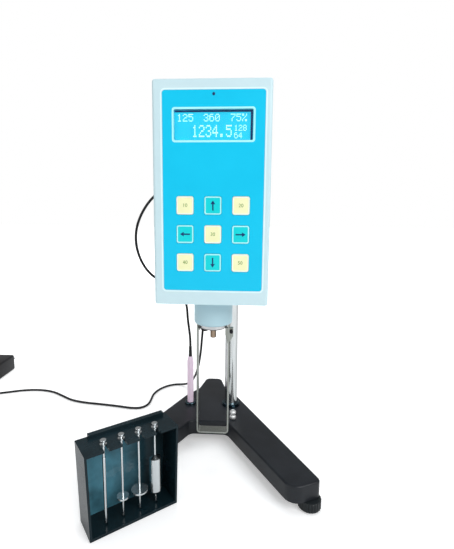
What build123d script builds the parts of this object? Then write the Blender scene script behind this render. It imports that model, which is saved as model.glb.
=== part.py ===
from build123d import *
import math
import os

os.makedirs("parts", exist_ok=True)

# Rotational viscometer on a cast tripod stand.  Millimetres.
# Origin: on the bench, straight below the spindle axis.  +X to the right of
# the keypad, +Y away from the person at the keypad, +Z up.

# ---- general clearances ----
seat_gap = 0.3          # between pieces that sit against each other
run_gap = 0.06          # radial clearance of a turning or sliding fit
slip_gap = 0.5          # loose clearance round a moving piece

# ---- stand: base casting ----
base_top = 32.8
base_thickness = 19.8
base_centre_x = -8.0
base_wall = 5.0
base_skin = 5.5
base_edge_radius = 2.2
hub_half_width = 41.0
hub_rear_y = 113.0
web_front_y = 39.5
web_half_width = 25.5
rear_lobe_half_width = 12.5
rear_lobe_root_half_width = 22.0
rear_lobe_root_y = 139.0
rear_lobe_y = 177.0
leg_end_outer = (131.5, -71.5)
leg_end_inner = (97.0, -87.5)
leg_corner_radius = 6.0
leg_inner_corner_radius = 15.0
boss_margin = 7.0

# ---- stand: levelling feet ----
foot_x = 119.0
foot_y = -70.5
rear_foot_y = 163.0
foot_knob_radius = 12.6
foot_knob_height = 12.2
foot_pad_radius = 9.5
foot_pad_height = 1.6
foot_stud_radius = 4.0
foot_stud_reach = 11.0
foot_flutes = 24

# ---- stand: post with its rack ----
post_x = 22.0
post_y = 90.0
post_radius = 9.0
post_top = 468.0
post_spigot_radius = 7.0
collar_radius = 12.2
collar_height = 4.2
flange_radius = 13.6
flange_height = 2.0
bolt_head_radius = 9.0
bolt_head_height = 4.5
rack_bottom = 262.0
rack_top = 440.0
rack_width = 8.4
rack_module = 1.0
pinion_teeth = 14

# ---- stand: probe rest and lock nuts ----
probe_x = -38.8
probe_y = 88.5
probe_ring_radius = 8.2
probe_ring_height = 3.2
probe_radius = 4.6
probe_top = 107.0
probe_neck_radius = 2.9
probe_taper_height = 7.0
probe_seat_depth = 9.0
relief_radius = 2.6
relief_length = 15.0
lock_stud_x = 25.5
lock_stud_y = 47.0
lock_stud_radius = 2.0
lock_nut_radius = 4.3
lock_nut_height = 6.6

# ---- carriage on the post ----
block_height = 60.0
block_bottom = 322.0
block_left = -14.0
block_right = 40.0
block_front = 70.0
block_back = 118.0
block_corner_radius = 5.0
rod_radius = 7.0
rod_x = 0.0
rod_z = 352.0
rod_end_y = 122.0
pinion_above_block_bottom = 15.0
pinion_length = 6.4
pinion_shaft_radius = 3.0
knob_radius = 14.0
knob_length = 17.0
knob_flutes = 20
knob_stand_off = 6.0
lock_above_block_bottom = 46.0
lock_knob_radius = 11.0
clamp_screw_radius = 3.0
clamp_knob_radius = 10.0
clamp_knob_height = 14.0

# ---- head housing ----
head_width = 123.5
head_height = 233.7
head_bottom = 221.0
head_front = -50.5
head_depth = 100.5
head_wall = 2.6
head_split_y = -22.0
head_edge_radius = 3.2
head_face_radius = 1.4
plate_thickness = 3.0
plate_y = 34.0
shelf_z = 304.0
shelf_front_y = -34.0

# ---- front panel ----
panel_x = 1.6
panel_width = 105.5
panel_height = 207.0
panel_top = 444.0
panel_thickness = 0.7
panel_recess = 0.6
panel_corner_radius = 3.0
window_width = 81.4
window_height = 30.6
window_top = 425.2
window_frame = 2.3
window_thickness = 1.2
key_width = 18.0
key_height = 19.0
key_corner_radius = 2.4
key_pitch_x = 29.5
key_pitch_z = 30.3
key_middle_z = 297.8
key_gap = 0.3
key_proud = 0.45
key_travel = 0.5
key_plate = 3.0
key_flange = 1.2
key_stem_radius = 4.0
board_y = -41.5
board_thickness = 1.6

# ---- neck, coupling and guard ----
neck_radius = 23.35
neck_bottom = 186.5
neck_wall = 4.0
neck_edge_radius = 3.0
cap_radius = 16.8
cap_height = 6.0
thumb_screw_x = -10.6
thumb_screw_radius = 4.6
thumb_screw_bottom = 175.6
shaft_radius = 2.5
coupling_radius = 3.6
coupling_bottom = 167.5
coupling_height = 12.0
coupling_hole_radius = 1.6
coupling_hole_depth = 6.0
guard_width = 40.0
guard_strip = 13.5
guard_thickness = 1.8
guard_bottom = 43.5
guard_corner_radius = 4.5
bracket_inner_x = 14.8
bracket_bottom = 160.0
bracket_depth = 6.0
bracket_overhang = 4.6
bracket_screw_radius = 2.2
bracket_screw_z = 176.2

# ---- drive train in the head ----
gear_module = 0.8
drive_teeth = 48
motor_teeth = 16
gear_thickness = 6.0
gear_z = 294.0
drive_shaft_radius = 4.0
encoder_radius = 24.0
encoder_thickness = 1.2
upper_disc_z = 284.0
lower_disc_z = 262.0
encoder_slots = 36
motor_radius = 17.5
motor_height = 34.0
motor_boss_radius = 8.0
motor_shaft_radius = 2.5
bearing_radius = 8.0
bearing_height = 5.0
spring_inner_radius = 4.5
spring_pitch = 2.6
spring_turns = 4
spring_height = 2.2
spring_strip = 0.5
spring_z = 270.0
spring_seat_radius = 4.0
pivot_radius = 1.5

# ---- back of the head ----
jack_x = -26.0
jack_z = 318.0
jack_radius = 6.0
gland_x = -42.0
gland_z = 345.0
gland_radius = 4.6
port_x = -24.0
port_z = 250.0
rocker_x = 27.0
rocker_z = 262.0
rocker_width = 13.0
rocker_height = 19.0
switch_frame = 3.0
level_y = -8.0
level_radius = 8.0
level_height = 5.0

# ---- spindle case ----
case_corner_x = -113.0
case_corner_y = -133.2
case_turn = 37.36       # degrees about +Z
case_width = 98.9
case_depth = 33.5
case_height = 91.6
case_wall = 2.4
case_floor = 3.2
case_taper = 1.5        # degrees, each side leans out upwards
shelf_thickness = 2.4
rail_depth = 5.5
rail_height = 4.0
rail_inset_left = 11.5
rail_inset_right = 3.0
slot_width = 5.0
slot_depth = 13.6
first_slot = 21.0
slot_pitch = 18.65
spindle_inset = 10.7

# ---- spindles ----
spindle_rod_radius = 1.2
spindle_stop_radius = 3.5
spindle_stop_height = 1.2
spindle_head_radius = 3.2
spindle_head_height = 1.8
spindle_head_stem = 2.6
spindle_tip = 4.6
disc_height = 1.65
disc_z = 26.6
disc_radii = (1.6, 6.35, 8.9, 6.5)
body_bottom = 13.0
body_top = 57.0
body_cone = 6.0

# ---- cords ----
cord_radius = 1.75
plug_radius = 4.6
plug_length = 17.0
coil_turn_radius = 19.5
coil_x = -437.0
coil_y = 172.0
coil_layers = 2
coil_lanes = 3
adapter_width = 42.0
adapter_length = 62.0
adapter_height = 30.0
adapter_x = -437.0
adapter_y = 233.6

# ---- worked out from the sizes above ----
base_bottom = base_top - base_thickness
block_top = block_bottom + block_height
head_top = head_bottom + head_height
head_back = head_front + head_depth
pitch_radius = rack_module * pinion_teeth / 2
rack_pitch_y = post_y + post_radius - rack_module
pinion_y = rack_pitch_y + pitch_radius
pinion_z = block_bottom + pinion_above_block_bottom
panel_bottom = panel_top - panel_height
window_z = window_top - window_height / 2
gear_centre = gear_module * (drive_teeth + motor_teeth) / 2
plate_back = plate_y + plate_thickness


def cyl(radius, z0, z1, x=0.0, y=0.0):
    """Upright cylinder from z0 to z1."""
    return Pos(x, y, (z0 + z1) / 2) * Cylinder(radius, z1 - z0)


def cyl_y(radius, y0, y1, x, z):
    """Cylinder along Y."""
    return Pos(x, (y0 + y1) / 2, z) * Rot(90, 0, 0) * Cylinder(radius, y1 - y0)


def cyl_x(radius, x0, x1, y, z):
    """Cylinder along X."""
    return Pos((x0 + x1) / 2, y, z) * Rot(0, 90, 0) * Cylinder(radius, x1 - x0)


def block(x0, x1, y0, y1, z0, z1):
    """Box between two corners."""
    return Pos((x0 + x1) / 2, (y0 + y1) / 2, (z0 + z1) / 2) * Box(x1 - x0, y1 - y0, z1 - z0)


def rounded_slab(width, height, radius, y0, y1, x, z):
    """Plate standing in the XZ plane with rounded corners."""
    outline = Plane((x, y1, z), x_dir=(1, 0, 0), z_dir=(0, -1, 0)) * RectangleRounded(width, height, radius)
    return extrude(outline, y1 - y0)


def fluted(radius, height, count, depth):
    """Grip with rounded flutes round its rim, standing on z = 0."""
    body = Pos(0, 0, height / 2) * Cylinder(radius, height)
    body = chamfer(body.edges().group_by(Axis.Z)[-1] + body.edges().group_by(Axis.Z)[0], depth * 0.7)
    flute_radius = math.pi * radius / count * 0.62
    flute = Pos(radius + flute_radius - depth, 0, height / 2) * Cylinder(flute_radius, height)
    flutes = [Rot(0, 0, 360 * i / count) * flute for i in range(count)]
    return body - flutes


def gear_outline(module, teeth):
    """Spur gear outline with straight-sided teeth, centred on the origin."""
    pitch = module * teeth / 2
    root, tip = pitch - 1.15 * module, pitch + 0.9 * module
    step = 2 * math.pi / teeth
    points = []
    for i in range(teeth):
        for radius, turn in ((root, -0.34), (tip, -0.11), (tip, 0.11), (root, 0.34)):
            angle = (i + turn) * step
            points.append((radius * math.cos(angle), radius * math.sin(angle)))
    return make_face(Polyline(*points, close=True))


def save(node, shape):
    export_step(shape, f"parts/{node}.step")


# ---------------------------------------------------------------- stand

def base_outline():
    """Tripod outline seen from above: two long front legs and a short rear lobe."""
    outer_x, outer_y = leg_end_outer
    inner_x, inner_y = leg_end_inner
    half = [
        (rear_lobe_half_width, rear_lobe_y),
        (rear_lobe_root_half_width, rear_lobe_root_y),
        (hub_half_width, hub_rear_y),
        (outer_x, outer_y),
        (inner_x, inner_y),
        (web_half_width, web_front_y),
    ]
    radii = [rear_lobe_half_width * 0.7, 14.0, 12.0, leg_corner_radius, leg_inner_corner_radius, 11.0]
    right = [(base_centre_x + x, y) for x, y in half]
    left = [(base_centre_x - x, y) for x, y in reversed(half)]
    path = FilletPolyline(*(right + left), radius=radii + radii[::-1], close=True)
    return make_face(path)


def foot_places():
    return {
        "foot_right": (base_centre_x + foot_x, foot_y),
        "foot_left": (base_centre_x - foot_x, foot_y),
        "foot_rear": (base_centre_x, rear_foot_y),
    }


def base_casting():
    """Iron casting, hollow underneath, with bosses for the post, ring, stud and feet."""
    outline = base_outline()
    body = extrude(outline, base_thickness)
    body = Pos(0, 0, base_bottom) * body
    body = fillet(body.edges().group_by(Axis.Z)[-1], base_edge_radius)
    pocket = extrude(offset(outline, -base_wall), base_thickness - base_skin)
    pocket = Pos(0, 0, base_bottom) * pocket
    for x, y in foot_places().values():
        pocket -= cyl(foot_stud_radius + boss_margin, base_bottom, base_top, x, y)
    pocket -= cyl(post_radius + boss_margin, base_bottom, base_top, post_x, post_y)
    pocket -= cyl(probe_radius + boss_margin, base_bottom, base_top, probe_x, probe_y)
    pocket -= cyl(lock_stud_radius + boss_margin, base_bottom, base_top, lock_stud_x, lock_stud_y)
    body -= pocket
    for x, y in foot_places().values():
        body -= cyl(foot_stud_radius + run_gap, base_bottom, base_bottom + foot_stud_reach + 1, x, y)
    body -= cyl(post_spigot_radius, base_bottom, base_top, post_x, post_y)
    body -= cyl(probe_radius + slip_gap, base_top - probe_seat_depth, base_top, probe_x, probe_y)
    body -= cyl(lock_stud_radius, base_top - 8, base_top, lock_stud_x, lock_stud_y)
    return body


def foot():
    """Levelling foot: fluted grip moulded on a steel stud, rubber sole underneath."""
    knob = Pos(0, 0, foot_pad_height) * fluted(foot_knob_radius, foot_knob_height - foot_pad_height, foot_flutes, 0.9)
    knob += cyl(foot_pad_radius, 0, foot_pad_height)
    knob += cyl(foot_stud_radius, foot_knob_height - 1, base_bottom + foot_stud_reach)
    return knob


def post():
    """Steel post with the rack cut into its back, a spigot below and a domed top."""
    column = cyl(post_radius, base_top, post_top, post_x, post_y)
    column = fillet(column.edges().group_by(Axis.Z)[-1], 2.5)
    column += cyl(post_spigot_radius, base_bottom, base_top, post_x, post_y)
    flat_y = post_y + post_radius
    tooth = math.pi * rack_module
    cut_depth = 2.1 * rack_module
    outline = Polyline(
        (flat_y + 1, -0.42 * tooth),
        (flat_y, -0.42 * tooth),
        (flat_y - cut_depth, -0.17 * tooth),
        (flat_y - cut_depth, 0.17 * tooth),
        (flat_y, 0.42 * tooth),
        (flat_y + 1, 0.42 * tooth),
        close=True,
    )
    left_x = post_x - rack_width / 2
    gap = extrude(Plane((left_x, 0, 0), x_dir=(0, 1, 0), z_dir=(1, 0, 0)) * make_face(outline), rack_width)
    first = math.ceil((rack_bottom - pinion_z) / tooth)
    last = math.floor((rack_top - pinion_z) / tooth)
    gaps = [Pos(0, 0, pinion_z + i * tooth) * gap for i in range(first, last + 1)]
    return column - gaps


def post_collar():
    """Chromed ring nut and flange round the foot of the post."""
    ring = cyl(flange_radius, base_top, base_top + flange_height, post_x, post_y)
    ring += cyl(collar_radius, base_top, base_top + collar_height, post_x, post_y)
    ring = chamfer(ring.edges().group_by(Axis.Z)[-1], 0.7)
    return ring - cyl(post_radius + 0.05, base_top, base_top + collar_height, post_x, post_y)


def post_bolt():
    """Hexagon bolt with a washer that pulls the post down from below."""
    head = Pos(post_x, post_y, base_bottom - bolt_head_height) * extrude(RegularPolygon(bolt_head_radius, 6), bolt_head_height - 1.5)
    return head + cyl(bolt_head_radius + 1.5, base_bottom - 1.5, base_bottom, post_x, post_y)


def probe_ring():
    """Plated ring pressed on the casting, a rest for the temperature probe."""
    ring = cyl(probe_ring_radius, base_top, base_top + probe_ring_height, probe_x, probe_y)
    ring = fillet(ring.edges().group_by(Axis.Z)[-1], 1.2)
    return ring - cyl(probe_radius + slip_gap, base_top, base_top + probe_ring_height, probe_x, probe_y)


def probe_sleeve():
    """Probe handle: a long sleeve, tapered to a neck where the lead comes out."""
    foot_z = base_top - probe_seat_depth + seat_gap
    straight = cyl(probe_radius, foot_z, probe_top - probe_taper_height, probe_x, probe_y)
    straight = fillet(straight.edges().group_by(Axis.Z)[0], 1.5)
    taper = Pos(probe_x, probe_y, probe_top - probe_taper_height / 2) * Cone(probe_radius, probe_neck_radius, probe_taper_height)
    return straight + taper


def probe_relief():
    """Soft tapered sleeve round the lead above the probe."""
    return Pos(probe_x, probe_y, probe_top + relief_length / 2) * Cone(relief_radius, cord_radius + 0.3, relief_length)


def lock_nuts():
    """Stud in the web with two domed nuts locked on each other."""
    stud = cyl(lock_stud_radius, base_top - 8, base_top + 2 * lock_nut_height - 2, lock_stud_x, lock_stud_y)
    result = stud
    for i in range(2):
        z0 = base_top + i * lock_nut_height
        nut = cyl(lock_nut_radius, z0, z0 + lock_nut_height, lock_stud_x, lock_stud_y)
        edges = nut.edges().group_by(Axis.Z)
        result += fillet(edges[-1] + edges[0], lock_nut_height * 0.42)
    return result


# ------------------------------------------------------------- carriage

def carriage_block():
    """Aluminium clamp block that slides on the post and grips the head's rod."""
    body = block(block_left, block_right, block_front, block_back, block_bottom, block_top)
    body = fillet(body.edges().filter_by(Axis.Z), block_corner_radius)
    body = chamfer(body.edges().group_by(Axis.Z)[-1] + body.edges().group_by(Axis.Z)[0], 1.2)
    body -= cyl(post_radius + run_gap, block_bottom, block_top, post_x, post_y)
    body -= cyl_y(rod_radius + run_gap, block_front, block_back, rod_x, rod_z)
    well = pitch_radius + rack_module + 1
    pocket_left = post_x - pinion_length / 2 - 1
    body -= cyl_x(well, pocket_left, pocket_left + pinion_length + 2, pinion_y, pinion_z)
    body -= cyl_x(pinion_shaft_radius + run_gap, pocket_left - 5, block_right, pinion_y, pinion_z)
    lock_z = block_bottom + lock_above_block_bottom
    body -= cyl_x(clamp_screw_radius + run_gap, post_x + post_radius - 1, block_right, post_y, lock_z)
    body -= cyl(clamp_screw_radius + run_gap, rod_z + rod_radius - 1, block_top, rod_x, post_y)
    return body


def lift_pinion():
    """Steel pinion cut on its shaft, in mesh with the rack."""
    profile = Rot(0, 0, 180) * gear_outline(rack_module, pinion_teeth)
    gear = extrude(profile, pinion_length)
    gear = Plane((post_x - pinion_length / 2, pinion_y, pinion_z), x_dir=(0, 1, 0), z_dir=(1, 0, 0)) * gear
    shaft_start = post_x - pinion_length / 2 - 5
    shaft_end = block_right + knob_stand_off + knob_length - 2
    return gear + cyl_x(pinion_shaft_radius, shaft_start, shaft_end, pinion_y, pinion_z)


def lift_knob():
    """Large fluted hand knob fixed on the pinion shaft."""
    grip = fluted(knob_radius, knob_length, knob_flutes, 1.1)
    hub = Pos(0, 0, -knob_stand_off / 2 + seat_gap / 2) * Cylinder(7, knob_stand_off - seat_gap)
    knob = Plane((block_right + knob_stand_off, pinion_y, pinion_z), x_dir=(0, 1, 0), z_dir=(1, 0, 0)) * (grip + hub)
    shaft_end = block_right + knob_stand_off + knob_length - 2
    return knob - cyl_x(pinion_shaft_radius, block_right, shaft_end, pinion_y, pinion_z)


def lock_knob():
    """Screw with a fluted grip that holds the carriage on the post."""
    lock_z = block_bottom + lock_above_block_bottom
    grip = fluted(lock_knob_radius, 11, 16, 1.0)
    grip = Plane((block_right + 4, post_y, lock_z), x_dir=(0, 1, 0), z_dir=(1, 0, 0)) * grip
    screw = cyl_x(clamp_screw_radius, post_x + post_radius + seat_gap, block_right + 5, post_y, lock_z)
    return grip + screw


def rod_clamp_knob():
    """Screw with a fluted grip that holds the rod at its angle."""
    grip = Pos(rod_x, post_y, block_top + 4) * fluted(clamp_knob_radius, clamp_knob_height, 16, 1.0)
    screw = cyl(clamp_screw_radius, rod_z + rod_radius + seat_gap, block_top + 5, rod_x, post_y)
    return grip + screw


# ----------------------------------------------------------------- head

def head_solid():
    body = block(-head_width / 2, head_width / 2, head_front, head_back, head_bottom, head_top)
    body = fillet(body.edges().filter_by(Axis.Z) + body.edges().filter_by(Axis.Y), head_edge_radius)
    return body


def head_cavity():
    return block(
        -head_width / 2 + head_wall,
        head_width / 2 - head_wall,
        head_front + head_wall + 0.4,
        head_back - head_wall,
        head_bottom + head_wall,
        head_top - head_wall,
    )


def key_places():
    for row in range(3):
        for column in range(3):
            x = panel_x + (column - 1) * key_pitch_x
            z = key_middle_z + (1 - row) * key_pitch_z
            yield f"key_{row + 1}_{column + 1}", x, z


def key_holes(y0, y1, margin):
    width, height = key_width + 2 * margin, key_height + 2 * margin
    return [rounded_slab(width, height, key_corner_radius + margin, y0, y1, x, z) for _, x, z in key_places()]


def front_shell():
    """Front half of the housing, with the recess for the panel and its openings."""
    shell = head_solid() - head_cavity()
    shell -= block(-head_width, head_width, head_split_y, head_back + 1, head_bottom - 1, head_top + 1)
    centre_z = panel_top - panel_height / 2
    shell -= rounded_slab(
        panel_width + seat_gap, panel_height + seat_gap, panel_corner_radius,
        head_front - 1, head_front + panel_recess, panel_x, centre_z,
    )
    inner_y = head_front + head_wall + 1
    shell -= rounded_slab(window_width, window_height, 1.5, head_front - 1, inner_y, panel_x, window_z)
    shell -= key_holes(head_front - 1, inner_y, key_gap)
    shell -= cyl(neck_radius - neck_wall, head_bottom - 1, head_bottom + head_wall + 1)
    return shell


def rear_cover():
    """Back half of the housing, with the openings for the rod, the sockets and the level."""
    shell = head_solid() - head_cavity()
    shell -= block(-head_width, head_width, head_front - 1, head_split_y + seat_gap, head_bottom - 1, head_top + 1)
    shell -= cyl_y(rod_radius + 2, head_back - 5, head_back + 1, rod_x, rod_z)
    shell -= cyl_y(jack_radius, head_back - 5, head_back + 1, jack_x, jack_z)
    shell -= cyl_y(gland_radius - 1, head_back - 5, head_back + 1, gland_x, gland_z)
    shell -= block(port_x - 9, port_x + 9, head_back - 5, head_back + 1, port_z - 5, port_z + 5)
    frame_x, frame_z = rocker_width / 2 + switch_frame, rocker_height / 2 + switch_frame
    shell -= block(
        rocker_x - frame_x, rocker_x + frame_x, head_back - 5, head_back + 1,
        rocker_z - frame_z, rocker_z + frame_z,
    )
    shell -= cyl(neck_radius - neck_wall, head_bottom - 1, head_bottom + head_wall + 1)
    shell -= cyl(level_radius - 1.5, head_top - 5, head_top + 1, 0, level_y)
    vent = rounded_slab(34, 2.4, 1.15, head_back - 5, head_back + 1, 0, head_top - 24)
    shell -= [Pos(0, 0, -6 * i) * vent for i in range(6)]
    for x, z in cover_screw_places():
        shell -= cyl_y(1.7, head_back - 5, head_back + 1, x, z)
    return shell


def cover_screw_places():
    side, level = head_width / 2 - 9, head_height / 2 - 9
    middle = head_bottom + head_height / 2
    return [(sx * side, middle + sz * level) for sx in (-1, 1) for sz in (-1, 1)]


def cover_screws():
    """Four pan-head screws through the cover into the chassis posts."""
    screws = []
    for x, z in cover_screw_places():
        head = cyl_y(3.1, head_back + 0.02, head_back + 1.9, x, z)
        head = fillet(head.edges().group_by(Axis.Y)[-1], 0.9)
        head -= block(x - 2, x + 2, head_back + 1.2, head_back + 3, z - 0.35, z + 0.35)
        head -= block(x - 0.35, x + 0.35, head_back + 1.2, head_back + 3, z - 2, z + 2)
        screws.append(head + cyl_y(1.5, plate_back + 4, head_back + 0.5, x, z))
    return screws


def chassis_plate():
    """Folded aluminium chassis: upright plate, motor shelf and posts for the covers."""
    side = head_width / 2 - head_wall - 2
    plate = block(-side, side, plate_y, plate_back, head_bottom + head_wall + 1, head_top - head_wall - 1)
    plate += block(-side, side, shelf_front_y, plate_back, shelf_z, shelf_z + plate_thickness)
    plate -= cyl(bearing_radius, shelf_z - 1, shelf_z + plate_thickness + 1)
    plate -= cyl(motor_boss_radius + 0.2, shelf_z - 1, shelf_z + plate_thickness + 1, gear_centre, 0)
    for x, z in cover_screw_places():
        plate += cyl_y(4, plate_y, head_back - head_wall - seat_gap, x, z)
        plate -= cyl_y(1.5, plate_back + 4, head_back, x, z)
    plate -= block(-side + 14, side - 14, plate_y - 1, plate_back + 1, head_bottom + 14, shelf_z - 22)
    return plate


def handle_rod():
    """Steel rod that carries the head, with its flange on the chassis plate."""
    rod = cyl_y(rod_radius, plate_back, rod_end_y, rod_x, rod_z)
    rod = chamfer(rod.edges().group_by(Axis.Y)[-1], 1.0)
    return rod + cyl_y(rod_radius + 7, plate_back, plate_back + 4, rod_x, rod_z)


def overlay_panel():
    """Printed film over the whole panel, open at the window and the keys."""
    y0, y1 = head_front + panel_recess - panel_thickness, head_front + panel_recess
    centre_z = panel_top - panel_height / 2
    film = rounded_slab(panel_width, panel_height, panel_corner_radius, y0, y1, panel_x, centre_z)
    film -= rounded_slab(window_width, window_height, 1.5, y0 - 1, y1 + 1, panel_x, window_z)
    return film - key_holes(y0 - 1, y1 + 1, key_gap)


def display_window():
    """Clear window set in the shell behind the film."""
    y0 = head_front + panel_recess - panel_thickness + 0.3
    return rounded_slab(window_width - 0.2, window_height - 0.2, 1.4, y0, y0 + window_thickness, panel_x, window_z)


def display_module():
    """Liquid-crystal display in its metal bezel on a small board."""
    y0 = head_front + head_wall + 0.4 + seat_gap
    half = window_width / 2
    body = block(panel_x - half, panel_x + half, y0, y0 + 5, window_z - 17, window_z + 17)
    return body + block(panel_x - half - 2, panel_x + half + 2, y0 + 5, board_y - seat_gap, window_z - 20, window_z + 20)


def main_board():
    """Circuit board behind the keys with one dome switch under each key."""
    y1 = board_y + board_thickness
    board = block(panel_x - 50, panel_x + 50, board_y, y1, panel_bottom + 4, panel_top - 8)
    for _, x, z in key_places():
        board += cyl_y(3.2, board_y - 1.0, board_y + 0.1, x, z)
    for x in (-30, -8, 14, 36):
        board += block(x, x + 12, y1 - 0.1, y1 + 3.5, 340, 356)
    board += block(-20, 28, y1 - 0.1, y1 + 8, panel_bottom + 14, panel_bottom + 22)
    posts = [(sx * 46 + panel_x, z) for sx in (-1, 1) for z in (panel_bottom + 9, panel_top - 13)]
    for x, z in posts:
        board += cyl_y(2.6, head_front + head_wall + 0.4 + seat_gap, board_y + 0.1, x, z)
    return board


def key(x, z):
    """Key: a pad flush in the panel, a flange behind it and a stem to its switch."""
    front = head_front + panel_recess - panel_thickness - key_proud
    inner = head_front + head_wall + 0.4
    pad = rounded_slab(key_width, key_height, key_corner_radius, front, inner + seat_gap, x, z)
    pad = fillet(pad.edges().group_by(Axis.Y)[0], 0.35)
    flange = rounded_slab(
        key_width + 3, key_height + 3, key_corner_radius + 1, inner + seat_gap, inner + seat_gap + key_flange, x, z
    )
    stem_end = board_y - 1.0 - key_travel - 0.1
    return pad + flange + cyl_y(key_stem_radius, inner + seat_gap + key_flange, stem_end, x, z)


def bubble_level():
    """Round spirit level set in the top of the cover."""
    cup = cyl(level_radius, head_top, head_top + 2.2, 0, level_y)
    cup = fillet(cup.edges().group_by(Axis.Z)[-1], 0.8)
    cup += cyl(level_radius - 1.8, head_top - level_height, head_top + 0.1, 0, level_y)
    return cup - cyl(level_radius - 3, head_top + 0.6, head_top + 3, 0, level_y)


def rear_sockets():
    """Power socket, lead gland, data socket and switch frame in the back cover."""
    back = head_back
    jack = cyl_y(jack_radius - 0.1, back - 12, back + 0.1, jack_x, jack_z)
    jack += cyl_y(jack_radius + 1.6, back + 0.02, back + 1.6, jack_x, jack_z)
    jack -= cyl_y(3.2, back - 9, back + 3, jack_x, jack_z)
    gland = cyl_y(gland_radius - 1.1, back - 6, back + 0.1, gland_x, gland_z)
    gland += cyl_y(gland_radius + 1.2, back + 0.02, back + 2.5, gland_x, gland_z)
    gland += Pos(gland_x, back + 6.4, gland_z) * Rot(-90, 0, 0) * Cone(gland_radius, cord_radius + 0.5, 8)
    port = block(port_x - 8.8, port_x + 8.8, back - 8, back + 0.1, port_z - 4.8, port_z + 4.8)
    port += rounded_slab(31, 12.5, 2, back + 0.02, back + 1.0, port_x, port_z)
    port -= rounded_slab(16.5, 8, 2, back - 0.5, back + 2, port_x, port_z)
    frame_x, frame_z = rocker_width / 2 + switch_frame, rocker_height / 2 + switch_frame
    frame = block(
        rocker_x - frame_x + 0.1, rocker_x + frame_x - 0.1, back - 11, back + 0.1,
        rocker_z - frame_z + 0.1, rocker_z + frame_z - 0.1,
    )
    frame += rounded_slab(2 * frame_x + 2, 2 * frame_z + 2, 1.5, back + 0.02, back + 1.4, rocker_x, rocker_z)
    frame -= block(
        rocker_x - rocker_width / 2 - slip_gap, rocker_x + rocker_width / 2 + slip_gap, back - 8, back + 2,
        rocker_z - rocker_height / 2 - slip_gap, rocker_z + rocker_height / 2 + slip_gap,
    )
    frame += cyl_x(1.2, rocker_x - frame_x + 1, rocker_x + frame_x - 1, back - 3, rocker_z)
    return Compound(children=[jack, gland, port, frame])


def power_rocker():
    """Rocker with two inclined faces on a cross pin."""
    half_h = rocker_height / 2
    back = head_back
    outline = Polyline(
        (back - 5.5, rocker_z - half_h + 1.6),
        (back + 0.6, rocker_z - half_h),
        (back + 0.9, rocker_z),
        (back + 2.9, rocker_z + half_h - 1.0),
        (back - 5.5, rocker_z + half_h - 1.6),
        close=True,
    )
    side = Plane((rocker_x - rocker_width / 2, 0, 0), x_dir=(0, 1, 0), z_dir=(1, 0, 0)) * make_face(outline)
    rocker = extrude(side, rocker_width)
    return rocker - cyl_x(1.2 + run_gap, rocker_x - rocker_width, rocker_x + rocker_width, back - 3, rocker_z)


# --------------------------------------------------- neck, guard, spindle line

def neck_housing():
    """Turned neck under the head, with its flange inside and its rounded lower rim."""
    body = cyl(neck_radius, neck_bottom, head_bottom - 0.02)
    body = fillet(body.edges().group_by(Axis.Z)[0], neck_edge_radius)
    body += cyl(neck_radius - neck_wall - seat_gap, head_bottom - 0.5, head_bottom + head_wall + 4)
    body -= cyl(neck_radius - 2 * neck_wall, neck_bottom + 6, head_bottom + 10)
    return body - cyl(cap_radius - 6, neck_bottom - 1, neck_bottom + 10)


def neck_cap():
    """Plug that closes the neck and holds the lower bearing."""
    body = cyl(cap_radius, neck_bottom - cap_height, neck_bottom - 0.02)
    body = chamfer(body.edges().group_by(Axis.Z)[0], 1.5)
    body += cyl(cap_radius - 6.1, neck_bottom - 0.5, neck_bottom + 9)
    body -= cyl(5.05, neck_bottom + 2, neck_bottom + 10)
    return body - cyl(coupling_radius + 1, neck_bottom - cap_height - 1, neck_bottom + 3)


def guard():
    """U-shaped stainless strip round the spindle, with the clamp block on its right leg."""
    half = guard_width / 2
    top = neck_bottom - seat_gap
    outer = Pos(0, 0, (guard_bottom + top) / 2) * Box(guard_width, guard_strip, top - guard_bottom)
    outer = fillet(outer.edges().filter_by(Axis.Y).group_by(Axis.Z)[0], guard_corner_radius)
    inner = Pos(0, 0, (guard_bottom + guard_thickness + top + 2) / 2) * Box(
        guard_width - 2 * guard_thickness, guard_strip + 1, top + 2 - guard_bottom - guard_thickness
    )
    inner = fillet(inner.edges().filter_by(Axis.Y).group_by(Axis.Z)[0], guard_corner_radius - guard_thickness)
    strip = outer - inner
    clamp_top = neck_bottom - cap_height - seat_gap
    profile = Polyline(
        (bracket_inner_x, clamp_top),
        (half + bracket_overhang, clamp_top),
        (half + bracket_overhang, bracket_screw_z - 6),
        (half, bracket_bottom + 2),
        (half - guard_thickness, bracket_bottom),
        (bracket_inner_x, bracket_screw_z - 4),
        close=True,
    )
    clamp = extrude(Plane((0, bracket_depth / 2, 0), x_dir=(1, 0, 0), z_dir=(0, -1, 0)) * make_face(profile), bracket_depth)
    tab = block(-half, -half + 4.6, -guard_strip / 2, guard_strip / 2, clamp_top - guard_thickness, clamp_top)
    return strip + clamp + tab


def guard_screws():
    """Black socket screw in the clamp block and the thumb screw on the left."""
    y0 = -bracket_depth / 2
    half = guard_width / 2
    screw_x = half + bracket_screw_radius + 0.15
    socket = cyl_y(bracket_screw_radius, y0 - 2.6, y0 - 0.02, screw_x, bracket_screw_z)
    socket -= Pos(screw_x, y0 - 2.7, bracket_screw_z) * Rot(90, 0, 0) * Pos(0, 0, -1.2) * extrude(RegularPolygon(1.3, 6), 2.4)
    clamp_top = neck_bottom - cap_height - seat_gap
    thumb = cyl(thumb_screw_radius, thumb_screw_bottom, clamp_top, thumb_screw_x, 0)
    thumb = fillet(thumb.edges().group_by(Axis.Z)[0], 1.8)
    return [socket, thumb]


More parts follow.
